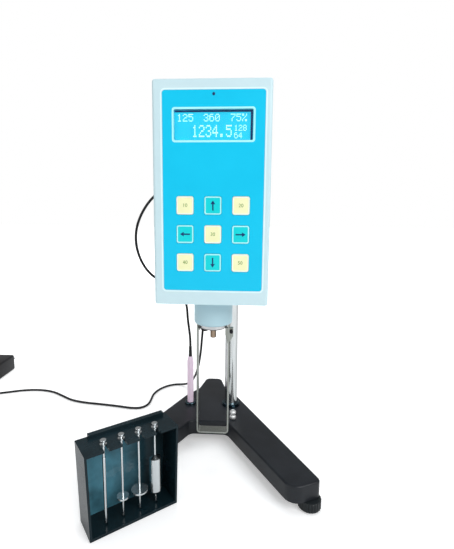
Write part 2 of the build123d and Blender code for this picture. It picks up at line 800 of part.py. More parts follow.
def bearings():
    """Ball bearing of the drive shaft and the lower bearing of the pivot shaft."""
    upper = cyl(bearing_radius - 0.02, shelf_z, shelf_z + bearing_height)
    upper -= cyl(drive_shaft_radius + run_gap, shelf_z, shelf_z + bearing_height)
    lower = cyl(5.0, neck_bottom + 3.1, neck_bottom + 7)
    lower -= cyl(shaft_radius + run_gap, neck_bottom + 3, neck_bottom + 8)
    return Compound(children=[upper, lower])


def motor():
    """Stepping motor on the shelf, beside the drive shaft."""
    z0 = shelf_z + plate_thickness
    body = cyl(motor_radius, z0 + 0.02, z0 + motor_height, gear_centre, 0)
    body = fillet(body.edges().group_by(Axis.Z)[-1], 2)
    body += cyl(motor_boss_radius, shelf_z + 0.5, z0 + 1, gear_centre, 0)
    body -= cyl(bearing_radius + slip_gap, z0 - 1, z0 + bearing_height)
    return body - cyl(motor_shaft_radius + run_gap, shelf_z, z0 + motor_height - 6, gear_centre, 0)


def motor_pinion():
    """Motor shaft with its pinion."""
    gear = Pos(gear_centre, 0, gear_z) * Rot(0, 0, 180 + 180 / motor_teeth) * extrude(gear_outline(gear_module, motor_teeth), gear_thickness)
    return gear + cyl(motor_shaft_radius, gear_z, shelf_z + plate_thickness + motor_height - 7, gear_centre, 0)


def drive_shaft():
    """Hollow-ended shaft with the retaining head above its bearing."""
    z_top = shelf_z + bearing_height
    shaft = cyl(drive_shaft_radius, upper_disc_z, z_top + 3)
    shaft += cyl(drive_shaft_radius + 2.2, z_top + seat_gap, z_top + 3)
    return shaft - cyl(pivot_radius + run_gap, upper_disc_z - 1, upper_disc_z + 8)


def drive_gear():
    """Large gear pressed on the drive shaft."""
    gear = Pos(0, 0, gear_z) * extrude(gear_outline(gear_module, drive_teeth), gear_thickness)
    gear -= cyl(drive_shaft_radius, gear_z, gear_z + gear_thickness)
    web = cyl(14.5, gear_z + 4.4, gear_z + gear_thickness) - cyl(7, gear_z + 4.4, gear_z + gear_thickness)
    return gear - web


def encoder_disc(z0, bore):
    """Slotted disc read by a light gate."""
    disc = cyl(encoder_radius, z0, z0 + encoder_thickness)
    slot = block(encoder_radius - 5, encoder_radius - 1.5, -0.7, 0.7, z0, z0 + encoder_thickness)
    disc -= [Rot(0, 0, 360 * i / encoder_slots) * slot for i in range(encoder_slots)]
    return disc - cyl(bore, z0, z0 + encoder_thickness)


def upper_disc():
    """Encoder disc on the drive shaft, with the peg that holds the spring's outer end."""
    disc = encoder_disc(upper_disc_z - encoder_thickness, pivot_radius + slip_gap)
    peg_x = spring_inner_radius + spring_pitch * spring_turns + 2.2
    return disc + cyl(1.2, spring_z, upper_disc_z - encoder_thickness + 0.1, peg_x, 0)


def pivot_shaft():
    """Pivot shaft from the jewel in the drive shaft down to the coupling."""
    hub_bottom = lower_disc_z - 6
    shaft = cyl(pivot_radius, hub_bottom, upper_disc_z + 7.5)
    shaft += cyl(shaft_radius, coupling_bottom + coupling_hole_depth + 0.5, hub_bottom + 0.1)
    shaft += cyl(spring_seat_radius, hub_bottom, lower_disc_z)
    return shaft + cyl(spring_seat_radius, spring_z - 2, spring_z + spring_height + 2)


def lower_disc():
    """Encoder disc on the pivot shaft."""
    return encoder_disc(lower_disc_z, pivot_radius)


def hairspring():
    """Flat spiral spring between the pivot shaft and the drive."""
    steps_per_turn = 12
    count = spring_turns * steps_per_turn

    def spiral(shift):
        points = []
        for i in range(count + 1):
            radius = spring_inner_radius + spring_pitch * i / steps_per_turn + shift
            angle = 2 * math.pi * i / steps_per_turn
            points.append((radius * math.cos(angle), radius * math.sin(angle)))
        return points

    inner, outer = spiral(0), spiral(spring_strip)
    edges = [
        Spline(*inner),
        Line(inner[-1], outer[-1]),
        Spline(*outer[::-1]),
        Line(outer[0], inner[0]),
    ]
    strip = Pos(0, 0, spring_z) * extrude(make_face(edges), spring_height)
    spring_top = spring_z + spring_height
    collet = cyl(spring_inner_radius + 0.3, spring_z, spring_top) - cyl(spring_seat_radius, spring_z, spring_top)
    return strip + collet


def coupling_nut():
    """Hollow coupling that takes the head of a spindle."""
    top = coupling_bottom + coupling_height
    body = cyl(coupling_radius, coupling_bottom, top)
    body = chamfer(body.edges().group_by(Axis.Z)[0], 0.6)
    body -= cyl(coupling_hole_radius, coupling_bottom, coupling_bottom + coupling_hole_depth)
    return body - cyl(shaft_radius, coupling_bottom + coupling_hole_depth + 0.5, top)


# ---------------------------------------------------------- case and spindles

def in_case(shape):
    """Carry a shape from the case's own frame to its place on the bench."""
    return Pos(case_corner_x, case_corner_y, 0) * Rot(0, 0, case_turn) * shape


def case_prism(inset, y0, y1, z0, z1):
    """Block whose two ends lean outwards, inset from the outer walls."""
    lean = math.tan(math.radians(case_taper))

    def x_left(z):
        return inset - (z - case_height / 2) * lean

    def x_right(z):
        return case_width - inset + (z - case_height / 2) * lean

    outline = Polyline((x_left(z0), z0), (x_right(z0), z0), (x_right(z1), z1), (x_left(z1), z1), close=True)
    face = Plane((0, y1, 0), x_dir=(1, 0, 0), z_dir=(0, -1, 0)) * make_face(outline)
    return extrude(face, y1 - y0)


def case_shell():
    """Open-fronted moulded case: floor, back and two leaning ends."""
    wall_top = case_height - shelf_thickness
    shell = case_prism(0, 0, case_depth, 0, wall_top)
    shell -= case_prism(case_wall, -1, case_depth - case_wall, case_floor, wall_top)
    for x in spindle_places():
        shell -= cyl(1.9, case_floor - 1.2, case_floor, x, spindle_inset)
    return in_case(shell)


def case_shelf():
    """Top plate with a slot for each spindle and a raised rail at the back."""
    plate = case_prism(0, 0, case_depth, case_height - shelf_thickness + 0.02, case_height)
    rail = block(
        rail_inset_left, case_width - rail_inset_right, case_depth - rail_depth, case_depth,
        case_height - 0.1, case_height + rail_height,
    )
    rail = fillet(rail.edges().group_by(Axis.Z)[-1].filter_by(Axis.X), 0.6)
    plate += rail
    for x in spindle_places():
        plate -= block(x - slot_width / 2, x + slot_width / 2, -1, spindle_inset, 80, case_height + 1)
        plate -= cyl(slot_width / 2, 80, case_height + 1, x, spindle_inset)
    return in_case(plate)


def spindle_places():
    return [first_slot + i * slot_pitch for i in range(4)]


def spindle(number):
    """Measuring spindle number 1 to 4: rod, disc or cylinder, collar and screwed head."""
    x = spindle_places()[number - 1]
    top = case_height + spindle_stop_height + spindle_head_stem
    shape = cyl(spindle_rod_radius, spindle_tip, top)
    shape = chamfer(shape.edges().group_by(Axis.Z)[0], 0.8)
    shape += cyl(spindle_stop_radius, case_height + 0.02, case_height + spindle_stop_height)
    head = cyl(spindle_head_radius, top - 0.1, top + spindle_head_height)
    shape += fillet(head.edges().group_by(Axis.Z)[-1], 0.5) if spindle_head_height > 1 else head
    radius = disc_radii[number - 1]
    if number == 1:
        shape += cyl(radius, spindle_tip + 2, 78)
    elif number == 4:
        shape += cyl(radius, body_bottom + body_cone, body_top)
        shape += Pos(0, 0, body_bottom + body_cone / 2) * Cone(spindle_rod_radius, radius, body_cone)
        shape += Pos(0, 0, body_top + 1.5) * Cone(radius, spindle_rod_radius, 3)
    else:
        disc = cyl(radius, disc_z - disc_height / 2, disc_z + disc_height / 2)
        shape += disc
    return in_case(Pos(x, spindle_inset, 0) * shape)


# ---------------------------------------------------------------- cords

def cord_tube(name, points):
    """Round lead along straight runs joined by tangent arcs."""
    vectors = [Vector(*p) for p in points]
    radii = []
    for before, here, after in zip(vectors, vectors[1:], vectors[2:]):
        run_in, run_out = here - before, after - here
        turn = math.radians(run_in.get_angle(run_out))
        radii.append(0.45 * min(run_in.length, run_out.length) / math.tan(turn / 2))
    path = FilletPolyline(*points, radius=radii)
    start = Plane(origin=vectors[0], z_dir=vectors[1] - vectors[0])
    tube = sweep(start * Circle(cord_radius), path=path)
    print(name, "length", round(path.length, 1), "least radius", round(min(radii), 1),
          "volume ratio", round(tube.volume / (math.pi * cord_radius ** 2 * path.length), 4))
    return tube


gland_end_y = head_back + 10.4
plug_start_y = head_back + 1.6 + seat_gap

probe_route = [
    (probe_x, probe_y, probe_top + relief_length),
    (probe_x, probe_y, 133),
    (-40.2, 85.0, 150),
    (-41.6, 79.0, 168),
    (-41.4, 72.0, 186),
    (-45.0, 66.5, 203),
    (-58.0, 64.0, 217),
    (-75.0, 62.0, 224),
    (-91.0, 61.0, 234),
    (-103.5, 60.5, 252),
    (-110.0, 60.0, 274),
    (-109.5, 60.0, 296),
    (-102.0, 60.5, 317),
    (-89.5, 62.0, 336),
    (-73.5, 65.0, 350),
    (-58.0, 69.0, 354),
    (-47.5, 71.5, 350.5),
    (gland_x, gland_end_y + 6.5, gland_z),
    (gland_x, gland_end_y, gland_z),
]

power_route = [
    (jack_x, plug_start_y + plug_length, jack_z),
    (jack_x, 77.0, jack_z),
    (-25.0, 83.5, 310),
    (-23.0, 84.5, 292),
    (-19.0, 82.0, 262),
    (-16.0, 80.0, 232),
    (-16.0, 80.5, 200),
    (-18.5, 87.0, 168),
    (-22.0, 98.0, 136),
    (-25.5, 115.0, 104),
    (-31.0, 140.0, 72),
    (-38.5, 166.0, 43),
    (-48.0, 190.0, 20),
    (-58.0, 206.0, 7),
    (-69.0, 214.0, 1.95),
    (-83.0, 213.0, 1.8),
    (-97.0, 204.0, 1.95),
    (-108.0, 190.0, 1.8),
    (-114.0, 172.0, 1.95),
    (-113.5, 153.0, 1.8),
    (-114.5, 135.5, 1.95),
    (-124.0, 124.0, 1.8),
    (-140.0, 122.5, 1.95),
    (-163.0, 127.5, 1.8),
    (-192.0, 131.5, 1.95),
    (-222.0, 135.0, 1.8),
    (-247.0, 141.5, 1.95),
    (-268.0, 155.0, 1.8),
    (-291.0, 169.0, 1.95),
    (-318.0, 175.0, 1.8),
    (-347.0, 171.0, 1.95),
    (-375.0, 160.0, 1.8),
    (-403.0, 150.5, 1.95),
    (coil_x, coil_y - coil_turn_radius - 3.5, 1.8),
]


def power_plugs():
    """Straight plug in the socket, and the wall adapter at the far end."""
    y0 = plug_start_y
    plug = cyl_y(plug_radius, y0, y0 + plug_length * 0.6, jack_x, jack_z)
    plug = fillet(plug.edges().group_by(Axis.Y)[0], 0.8)
    cone_length = plug_length * 0.4
    plug += Pos(jack_x, y0 + plug_length * 0.6 + cone_length / 2, jack_z) * Rot(-90, 0, 0) * Cone(
        plug_radius - 1, cord_radius + 0.4, cone_length
    )
    body = Pos(adapter_x, adapter_y, adapter_height / 2) * Box(adapter_width, adapter_length, adapter_height)
    body = fillet(body.edges().filter_by(Axis.Y), 6)
    body = fillet(body.edges().group_by(Axis.Y)[0] + body.edges().group_by(Axis.Y)[-1], 2)
    pin_y = adapter_y + adapter_length / 2
    for side in (-1, 1):
        body += cyl_y(2.0, pin_y - 1, pin_y + 18, adapter_x + side * 9.5, adapter_height / 2)
    boss = cyl_y(4.2, adapter_y - adapter_length / 2 - 6, adapter_y - adapter_length / 2 + 1, adapter_x + 10, 5)
    return Compound(children=[plug, body + boss])


def power_coil():
    """Outer shape of the spare length, wound in a flat ring."""
    width = coil_lanes * 2 * cord_radius
    height = coil_layers * 2 * cord_radius
    ring = cyl(coil_turn_radius + width / 2, 0, height, coil_x, coil_y)
    return ring - cyl(coil_turn_radius - width / 2, 0, height, coil_x, coil_y)


# ---------------------------------------------------------------- write all

save("base_casting", base_casting())
for node, (foot_place_x, foot_place_y) in foot_places().items():
    save(node, Pos(foot_place_x, foot_place_y, 0) * foot())
save("post", post())
save("post_collar", post_collar())
save("post_bolt", post_bolt())
save("probe_ring", probe_ring())
save("probe_sleeve", probe_sleeve())
save("probe_relief", probe_relief())
save("lock_nuts", lock_nuts())

save("carriage_block", carriage_block())
save("lift_pinion", lift_pinion())
save("lift_knob", lift_knob())
save("lock_knob", lock_knob())
save("rod_clamp_knob", rod_clamp_knob())

save("front_shell", front_shell())
save("rear_cover", rear_cover())
save("head_screws", Compound(children=cover_screws() + guard_screws()))
save("chassis_plate", chassis_plate())
save("handle_rod", handle_rod())
save("overlay_panel", overlay_panel())
save("display_window", display_window())
save("display_module", display_module())
save("main_board", main_board())
for node, key_x, key_z in key_places():
    save(node, key(key_x, key_z))
save("bubble_level", bubble_level())
save("rear_sockets", rear_sockets())
save("power_rocker", power_rocker())

save("neck_housing", neck_housing())
save("neck_cap", neck_cap())
save("guard", guard())
save("bearings", bearings())
save("motor", motor())
save("motor_pinion", motor_pinion())
save("drive_shaft", drive_shaft())
save("drive_gear", drive_gear())
save("upper_disc", upper_disc())
save("pivot_shaft", pivot_shaft())
save("lower_disc", lower_disc())
save("hairspring", hairspring())
save("coupling_nut", coupling_nut())

save("case_shell", case_shell())
save("case_shelf", case_shelf())
for spindle_number in range(1, 5):
    save(f"spindle_{spindle_number}", spindle(spindle_number))

save("probe_cord", cord_tube("probe_cord", probe_route))
save("power_cord", cord_tube("power_cord", power_route))
save("power_coil", power_coil())
save("power_plugs", power_plugs())
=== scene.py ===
import math

import bmesh
import bpy
from mathutils import Matrix, Vector


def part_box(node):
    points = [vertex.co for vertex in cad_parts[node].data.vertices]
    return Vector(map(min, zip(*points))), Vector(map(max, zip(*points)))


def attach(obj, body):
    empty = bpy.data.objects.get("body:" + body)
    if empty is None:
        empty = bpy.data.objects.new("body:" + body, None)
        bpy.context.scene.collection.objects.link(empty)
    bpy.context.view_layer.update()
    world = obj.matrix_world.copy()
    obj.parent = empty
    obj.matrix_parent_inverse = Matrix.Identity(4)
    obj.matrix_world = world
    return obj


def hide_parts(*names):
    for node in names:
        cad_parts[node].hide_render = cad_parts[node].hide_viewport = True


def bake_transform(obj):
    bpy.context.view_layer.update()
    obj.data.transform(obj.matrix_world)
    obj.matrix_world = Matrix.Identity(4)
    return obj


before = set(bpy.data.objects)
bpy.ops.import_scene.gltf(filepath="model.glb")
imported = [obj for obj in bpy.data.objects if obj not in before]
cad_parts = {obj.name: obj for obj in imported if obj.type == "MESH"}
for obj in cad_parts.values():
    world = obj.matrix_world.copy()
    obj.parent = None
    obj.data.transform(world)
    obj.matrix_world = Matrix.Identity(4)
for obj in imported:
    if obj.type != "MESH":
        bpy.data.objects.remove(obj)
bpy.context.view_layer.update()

# ------------------------------------------------------------------ studio
# A white sweep under soft lamps, and a camera a little above the display,
# tilted down to take in the whole stand.

EYE = Vector((0.025748, -0.463838, 0.326293))
YAW = -0.057
PITCH = 0.142
ROLL = 0.006
FOCAL_PIXELS = 389.842
PRINCIPAL_POINT = (213.101, 263.039)
FRAME_PIXELS = (454, 549)
SENSOR = 36.0

forward = Vector((math.sin(YAW) * math.cos(PITCH), math.cos(YAW) * math.cos(PITCH), -math.sin(PITCH)))
level = Vector((math.cos(YAW), -math.sin(YAW), 0))
upward = level.cross(forward)
right = math.cos(ROLL) * level + math.sin(ROLL) * upward
top = -math.sin(ROLL) * level + math.cos(ROLL) * upward
camera_data = bpy.data.cameras.new("camera")
camera_data.sensor_width = SENSOR
camera_data.lens = FOCAL_PIXELS / max(FRAME_PIXELS) * SENSOR
camera_data.shift_x = (FRAME_PIXELS[0] / 2 - PRINCIPAL_POINT[0]) / max(FRAME_PIXELS)
camera_data.shift_y = (PRINCIPAL_POINT[1] - FRAME_PIXELS[1] / 2) / max(FRAME_PIXELS)
camera_data.clip_start = 0.01
camera = bpy.data.objects.new("camera", camera_data)
camera.matrix_world = Matrix.Translation(EYE) @ Matrix((right, top, -forward)).transposed().to_4x4()
bpy.context.scene.collection.objects.link(camera)
bpy.context.scene.camera = camera
bpy.context.scene.view_settings.view_transform = "Standard"


def new_material(name):
    """Material with its node tree and its Principled shader."""
    material = bpy.data.materials.new(name)
    material.use_nodes = True
    tree = material.node_tree
    return material, tree, tree.nodes["Principled BSDF"]


def lamp(name, place, aim, size, power):
    """Square soft box that faces a point."""
    data = bpy.data.lights.new(name, "AREA")
    data.size = size
    data.energy = power
    light = bpy.data.objects.new(name, data)
    light.location = place
    light.rotation_euler = (Vector(aim) - Vector(place)).to_track_quat("-Z", "Y").to_euler()
    bpy.context.scene.collection.objects.link(light)
    return light


lamp("key_light", (1.3, -1.5, 1.6), (0, 0, 0.25), 1.4, 36)
lamp("fill_light", (-1.7, -1.2, 1.1), (0, 0, 0.2), 1.6, 9)
top_light = lamp("top_light", (0.0, 0.5, 2.2), (0, 0.1, 0), 1.8, 18)
back_light = lamp("back_light", (-0.6, 2.0, 1.2), (0, 0, 0.2), 1.4, 12)
top_light.visible_glossy = False
back_light.visible_glossy = False

world = bpy.data.worlds.new("studio")
world.use_nodes = True
sky = world.node_tree.nodes["Background"]
sky.inputs["Color"].default_value = (1, 1, 1, 1)
seen = world.node_tree.nodes.new("ShaderNodeLightPath")
bright = world.node_tree.nodes.new("ShaderNodeMath")
bright.operation = "MAXIMUM"
strength = world.node_tree.nodes.new("ShaderNodeMapRange")
strength.inputs["To Min"].default_value = 0.34
strength.inputs["To Max"].default_value = 1.0
world.node_tree.links.new(seen.outputs["Is Camera Ray"], bright.inputs[0])
world.node_tree.links.new(seen.outputs["Is Transmission Ray"], bright.inputs[1])
world.node_tree.links.new(bright.outputs[0], strength.inputs["Value"])
world.node_tree.links.new(strength.outputs[0], sky.inputs["Strength"])
bpy.context.scene.world = world

floor_mesh = bpy.data.meshes.new("floor")
floor_mesh.from_pydata([(-6, -6, 0), (6, -6, 0), (6, 6, 0), (-6, 6, 0)], [], [(0, 1, 2, 3)])
floor = bpy.data.objects.new("floor", floor_mesh)
floor.location.z = -0.0004
bpy.context.scene.collection.objects.link(floor)
floor_paint, floor_tree, floor_shader = new_material("floor_paint")
floor_shader.inputs["Base Color"].default_value = (0.86, 0.87, 0.88, 1)
floor_shader.inputs["Roughness"].default_value = 0.9
floor_shader.inputs["Specular IOR Level"].default_value = 0.1
floor_shader.inputs["Emission Color"].default_value = (1, 1, 1, 1)
floor_path = floor_tree.nodes.new("ShaderNodeLightPath")
floor_place = floor_tree.nodes.new("ShaderNodeTexCoord")
floor_reach = floor_tree.nodes.new("ShaderNodeVectorMath")
floor_reach.operation = "LENGTH"
floor_fade = floor_tree.nodes.new("ShaderNodeMapRange")
floor_fade.interpolation_type = "SMOOTHSTEP"
floor_fade.inputs["From Min"].default_value = 0.25
floor_fade.inputs["From Max"].default_value = 1.1
floor_fade.inputs["To Min"].default_value = 0.36
floor_fade.inputs["To Max"].default_value = 1.0
floor_glow = floor_tree.nodes.new("ShaderNodeMath")
floor_glow.operation = "MULTIPLY"
floor_tree.links.new(floor_place.outputs["Object"], floor_reach.inputs[0])
floor_tree.links.new(floor_reach.outputs["Value"], floor_fade.inputs["Value"])
floor_tree.links.new(floor_path.outputs["Is Camera Ray"], floor_glow.inputs[0])
floor_tree.links.new(floor_fade.outputs[0], floor_glow.inputs[1])
floor_tree.links.new(floor_glow.outputs[0], floor_shader.inputs["Emission Strength"])
floor_mesh.materials.append(floor_paint)

# ------------------------------------------------------------- power lead
# Thin round two-core lead in black PVC.  It hangs from the socket, crosses
# the bench in loose bends and its spare length is wound in a flat coil.


def group_input(group, name, kind, value):
    """Named input of a node group with its default."""
    socket = group.interface.new_socket(name, in_out="INPUT", socket_type=kind)
    socket.default_value = value
    return socket


def make_group(name, inputs, outputs):
    """Node group with named sockets; returns it with its two end nodes."""
    group = bpy.data.node_groups.new(name, "ShaderNodeTree")
    for socket_name, kind, value in inputs:
        group_input(group, socket_name, kind, value)
    for socket_name, kind in outputs:
        group.interface.new_socket(socket_name, in_out="OUTPUT", socket_type=kind)
    return group, group.nodes.new("NodeGroupInput"), group.nodes.new("NodeGroupOutput")


def grain_group():
    """Fine isotropic grain of moulded or sprayed skin: a height, and a roughness that follows slow smears."""
    group, start, end = make_group(
        "grain",
        [
            ("Scale", "NodeSocketFloat", 1200.0),
            ("Smear Scale", "NodeSocketFloat", 18.0),
            ("Roughness", "NodeSocketFloat", 0.4),
            ("Smear", "NodeSocketFloat", 0.08),
        ],
        [("Height", "NodeSocketFloat"), ("Roughness", "NodeSocketFloat"), ("Tone", "NodeSocketFloat")],
    )
    place = group.nodes.new("ShaderNodeTexCoord")
    fine = group.nodes.new("ShaderNodeTexNoise")
    fine.inputs["Detail"].default_value = 3
    slow = group.nodes.new("ShaderNodeTexNoise")
    slow.inputs["Detail"].default_value = 4
    slow.inputs["Roughness"].default_value = 0.6
    spread = group.nodes.new("ShaderNodeMath")
    spread.operation = "MULTIPLY_ADD"
    centred = group.nodes.new("ShaderNodeMath")
    centred.operation = "SUBTRACT"
    centred.inputs[1].default_value = 0.5
    link = group.links.new
    link(place.outputs["Object"], fine.inputs["Vector"])
    link(place.outputs["Object"], slow.inputs["Vector"])
    link(start.outputs["Scale"], fine.inputs["Scale"])
    link(start.outputs["Smear Scale"], slow.inputs["Scale"])
    link(slow.outputs["Fac"], centred.inputs[0])
    link(centred.outputs[0], spread.inputs[0])
    link(start.outputs["Smear"], spread.inputs[1])
    link(start.outputs["Roughness"], spread.inputs[2])
    link(fine.outputs["Fac"], end.inputs["Height"])
    link(spread.outputs[0], end.inputs["Roughness"])
    link(slow.outputs["Fac"], end.inputs["Tone"])
    return group


GRAIN = grain_group()


def place_group(tree, group, **values):
    """Puts a shared group in a material, with this material's own values."""
    node = tree.nodes.new("ShaderNodeGroup")
    node.node_tree = group
    for name, value in values.items():
        node.inputs[name.replace("_", " ")].default_value = value
    return node


def add_bump(tree, shader, height, strength, distance):
    """Small relief from a height."""
    bump = tree.nodes.new("ShaderNodeBump")
    bump.inputs["Strength"].default_value = strength
    bump.inputs["Distance"].default_value = distance
    tree.links.new(height, bump.inputs["Height"])
    tree.links.new(bump.outputs["Normal"], shader.inputs["Normal"])
    return bump


def tone_ramp(tree, fac, dark, light, low=0.35, high=0.65):
    """Colour that drifts between two near shades."""
    ramp = tree.nodes.new("ShaderNodeValToRGB")
    ramp.color_ramp.elements[0].position = low
    ramp.color_ramp.elements[1].position = high
    ramp.color_ramp.elements[0].color = (*dark, 1)
    ramp.color_ramp.elements[1].color = (*light, 1)
    tree.links.new(fac, ramp.inputs["Fac"])
    return ramp


def skin_material(
    name, dark, light, roughness, smear=0.08, scale=1200.0, bump=0.15, depth=0.0001, coat=0.0, gloss=0.5
):
    """Painted or moulded skin: two near shades, smeared gloss and a fine grain."""
    material, tree, shader = new_material(name)
    grain = place_group(tree, GRAIN, Scale=scale, Roughness=roughness, Smear=smear)
    ramp = tone_ramp(tree, grain.outputs["Tone"], dark, light)
    tree.links.new(ramp.outputs["Color"], shader.inputs["Base Color"])
    tree.links.new(grain.outputs["Roughness"], shader.inputs["Roughness"])
    add_bump(tree, shader, grain.outputs["Height"], bump, depth)
    shader.inputs["Specular IOR Level"].default_value = gloss
    shader.inputs["Coat Weight"].default_value = coat
    shader.inputs["Coat Roughness"].default_value = 0.08
    return material


def nurbs_route(name, points, radius, resolution=6):
    """Round cord on one smooth curve through the middle of its route."""
    data = bpy.data.curves.new(name, "CURVE")
    data.dimensions = "3D"
    data.bevel_depth = radius
    data.bevel_resolution = 4
    data.resolution_u = resolution
    spline = data.splines.new("NURBS")
    spline.points.add(len(points) - 1)
    for target, place in zip(spline.points, points):
        target.co = (*place, 1)
    spline.order_u = 3
    spline.use_endpoint_u = True
    piece = bpy.data.objects.new(name, data)
    bpy.context.scene.collection.objects.link(piece)
    return piece


def centre_line(piece):
    """Points along a cord's curve, read with no bevel."""
    radius = piece.data.bevel_depth
    piece.data.bevel_depth = 0
    bpy.context.view_layer.update()
    mesh = bpy.data.meshes.new_from_object(piece.evaluated_get(bpy.context.evaluated_depsgraph_get()))
    piece.data.bevel_depth = radius
    return [v.co.copy() for v in mesh.vertices]


def as_tube(piece):
    """Turns a cord's curve into a mesh tube of the same name; returns it with its path."""
    path = centre_line(piece)
    bpy.context.view_layer.update()
    mesh = bpy.data.meshes.new_from_object(piece.evaluated_get(bpy.context.evaluated_depsgraph_get()))
    name = piece.name
    bpy.data.objects.remove(piece)
    tube = bpy.data.objects.new(name, mesh)
    bpy.context.scene.collection.objects.link(tube)
    for face in mesh.polygons:
        face.use_smooth = True
    return tube, path


CORD_RADIUS = 0.00175
COIL_CENTRE = (-0.437, 0.172)
COIL_LANES = (0.023, 0.0195, 0.016)
COIL_TURNS = 5.25
COIL_POINTS_PER_TURN = 16
INWARD_TURNS = 2.6      # turns of the lower layer, from the outer lane in
OUTWARD_START = 2.85    # turn at which the upper layer sets out
OUTWARD_TURNS = 2.4
CLIMB_TURNS = 0.5       # turns over which the cord climbs to the upper layer
BENCH_HEIGHT = 0.0018   # cord's middle where it lies on the bench
JACK = Vector((-0.026, 0.0516, 0.318))
PLUG_LENGTH = 0.017
PLUG_START = JACK.y + 0.0003

power_points = [
    (JACK.x, PLUG_START + PLUG_LENGTH, JACK.z),
    (JACK.x, 0.077, JACK.z),
    (-0.025, 0.0835, 0.310),
    (-0.023, 0.0845, 0.292),
    (-0.019, 0.082, 0.262),
    (-0.016, 0.080, 0.232),
    (-0.016, 0.0805, 0.200),
    (-0.0185, 0.087, 0.168),
    (-0.022, 0.098, 0.136),
    (-0.0255, 0.115, 0.104),
    (-0.031, 0.140, 0.072),
    (-0.0385, 0.166, 0.043),
    (-0.048, 0.190, 0.020),
    (-0.058, 0.206, 0.007),
    (-0.069, 0.214, 0.00195),
    (-0.083, 0.213, 0.0018),
    (-0.097, 0.204, 0.00195),
    (-0.108, 0.190, 0.0018),
    (-0.114, 0.172, 0.00195),
    (-0.1135, 0.153, 0.0018),
    (-0.1145, 0.1355, 0.00195),
    (-0.124, 0.124, 0.0018),
    (-0.140, 0.1225, 0.00195),
    (-0.163, 0.1275, 0.0018),
    (-0.192, 0.1315, 0.00195),
    (-0.222, 0.135, 0.0018),
    (-0.247, 0.1415, 0.00195),
    (-0.268, 0.155, 0.0018),
    (-0.291, 0.169, 0.00195),
    (-0.318, 0.175, 0.0018),
    (-0.347, 0.171, 0.00195),
    (-0.375, 0.160, 0.0018),
    (-0.403, 0.1505, 0.00195),
]


def coil_points():
    """Turns of the spare length: inwards on the bench, then outwards on top."""
    points = []
    inward = len(COIL_LANES) - 1
    for i in range(int(COIL_TURNS * COIL_POINTS_PER_TURN) + 1):
        turn = i / COIL_POINTS_PER_TURN
        if turn < OUTWARD_START:
            lane = min(turn * inward / INWARD_TURNS, inward)
        else:
            lane = max(0, inward - (turn - OUTWARD_START) * inward / OUTWARD_TURNS)
        radius = COIL_LANES[0] - lane * (COIL_LANES[0] - COIL_LANES[1])
        rise = min(max((turn - INWARD_TURNS) / CLIMB_TURNS, 0), 1)
        angle = -math.pi / 2 - 2 * math.pi * turn
        x = COIL_CENTRE[0] + radius * math.cos(angle)
        y = COIL_CENTRE[1] + radius * math.sin(angle)
        points.append((x, y, BENCH_HEIGHT + rise * 2 * CORD_RADIUS))
    return points


ADAPTER_BOSS = Vector((-0.452, 0.1966, 0.008))
power_points += coil_points()
power_points += [
    (-0.4585, 0.180, 0.0062),
    (-0.4535, 0.188, 0.0078),
    tuple(ADAPTER_BOSS),
    (ADAPTER_BOSS.x, ADAPTER_BOSS.y + 0.010, ADAPTER_BOSS.z),
    (ADAPTER_BOSS.x, ADAPTER_BOSS.y + 0.046, ADAPTER_BOSS.z),
]
cord_rubber = skin_material(
    "cord_rubber", (0.008, 0.008, 0.009), (0.018, 0.018, 0.020), 0.45,
    smear=0.15, scale=1600, bump=0.25, gloss=0.3,
)
power_cord, power_path = as_tube(nurbs_route("power_lead", power_points, CORD_RADIUS))
power_cord.data.materials.append(cord_rubber)

# --------------------------------------------------------------- wall plug
# Black moulded adapter with two round pins, and the straight barrel plug
# that goes into the socket in the back of the head.


def link_mesh(name, bm, material, smooth=35):
    """Object from a bmesh, smooth up to an angle."""
    mesh = bpy.data.meshes.new(name)
    bm.to_mesh(mesh)
    bm.free()
    mesh.shade_smooth()
    mesh.set_sharp_from_angle(angle=math.radians(smooth))
    piece = bpy.data.objects.new(name, mesh)
    bpy.context.scene.collection.objects.link(piece)
    mesh.materials.append(material)
    return piece


def ring_of(radius, count):
    """Points evenly round a circle."""
    angles = [2 * math.pi * i / count for i in range(count)]
    return [(radius * math.cos(angle), radius * math.sin(angle)) for angle in angles]


def add_turned(bm, profile, count=48, matrix=None):
    """Closed turned solid: profile is (radius, height) from one end of the axis to the other."""
    matrix = matrix or Matrix.Identity(4)
    rings = []
    for radius, height in profile:
        if radius == 0:
            rings.append([bm.verts.new(matrix @ Vector((0, 0, height)))])
        else:
            rings.append([bm.verts.new(matrix @ Vector((x, y, height))) for x, y in ring_of(radius, count)])
    for low, high in zip(rings, rings[1:]):
        for i in range(count):
            j = (i + 1) % count
            if len(low) == 1:
                bm.faces.new((low[0], high[j], high[i]))
            elif len(high) == 1:
                bm.faces.new((low[i], low[j], high[0]))
            else:
                bm.faces.new((low[i], low[j], high[j], high[i]))
    if len(rings[0]) > 1:
        bm.faces.new(rings[0][::-1])
    if len(rings[-1]) > 1:
        bm.faces.new(rings[-1])
    return bm


def axis_frame(origin, direction):
    """Matrix that carries +Z at the origin to a direction at a place."""
    turn = Vector((0, 0, 1)).rotation_difference(Vector(direction)).to_matrix().to_4x4()
    return Matrix.Translation(origin) @ turn


def add_soft_box(bm, low, high, radius, steps=3):
    """Box with all edges rounded."""
    made = bmesh.ops.create_cube(bm, size=1)
    low, high = Vector(low), Vector(high)
    for vert in made["verts"]:
        vert.co = Vector(((low[k] + high[k]) / 2 + vert.co[k] * (high[k] - low[k]) for k in range(3)))
    edges = list({e for v in made["verts"] for e in v.link_edges})
    bmesh.ops.bevel(bm, geom=edges, offset=radius, segments=steps, profile=0.5, affect="EDGES")
    return bm


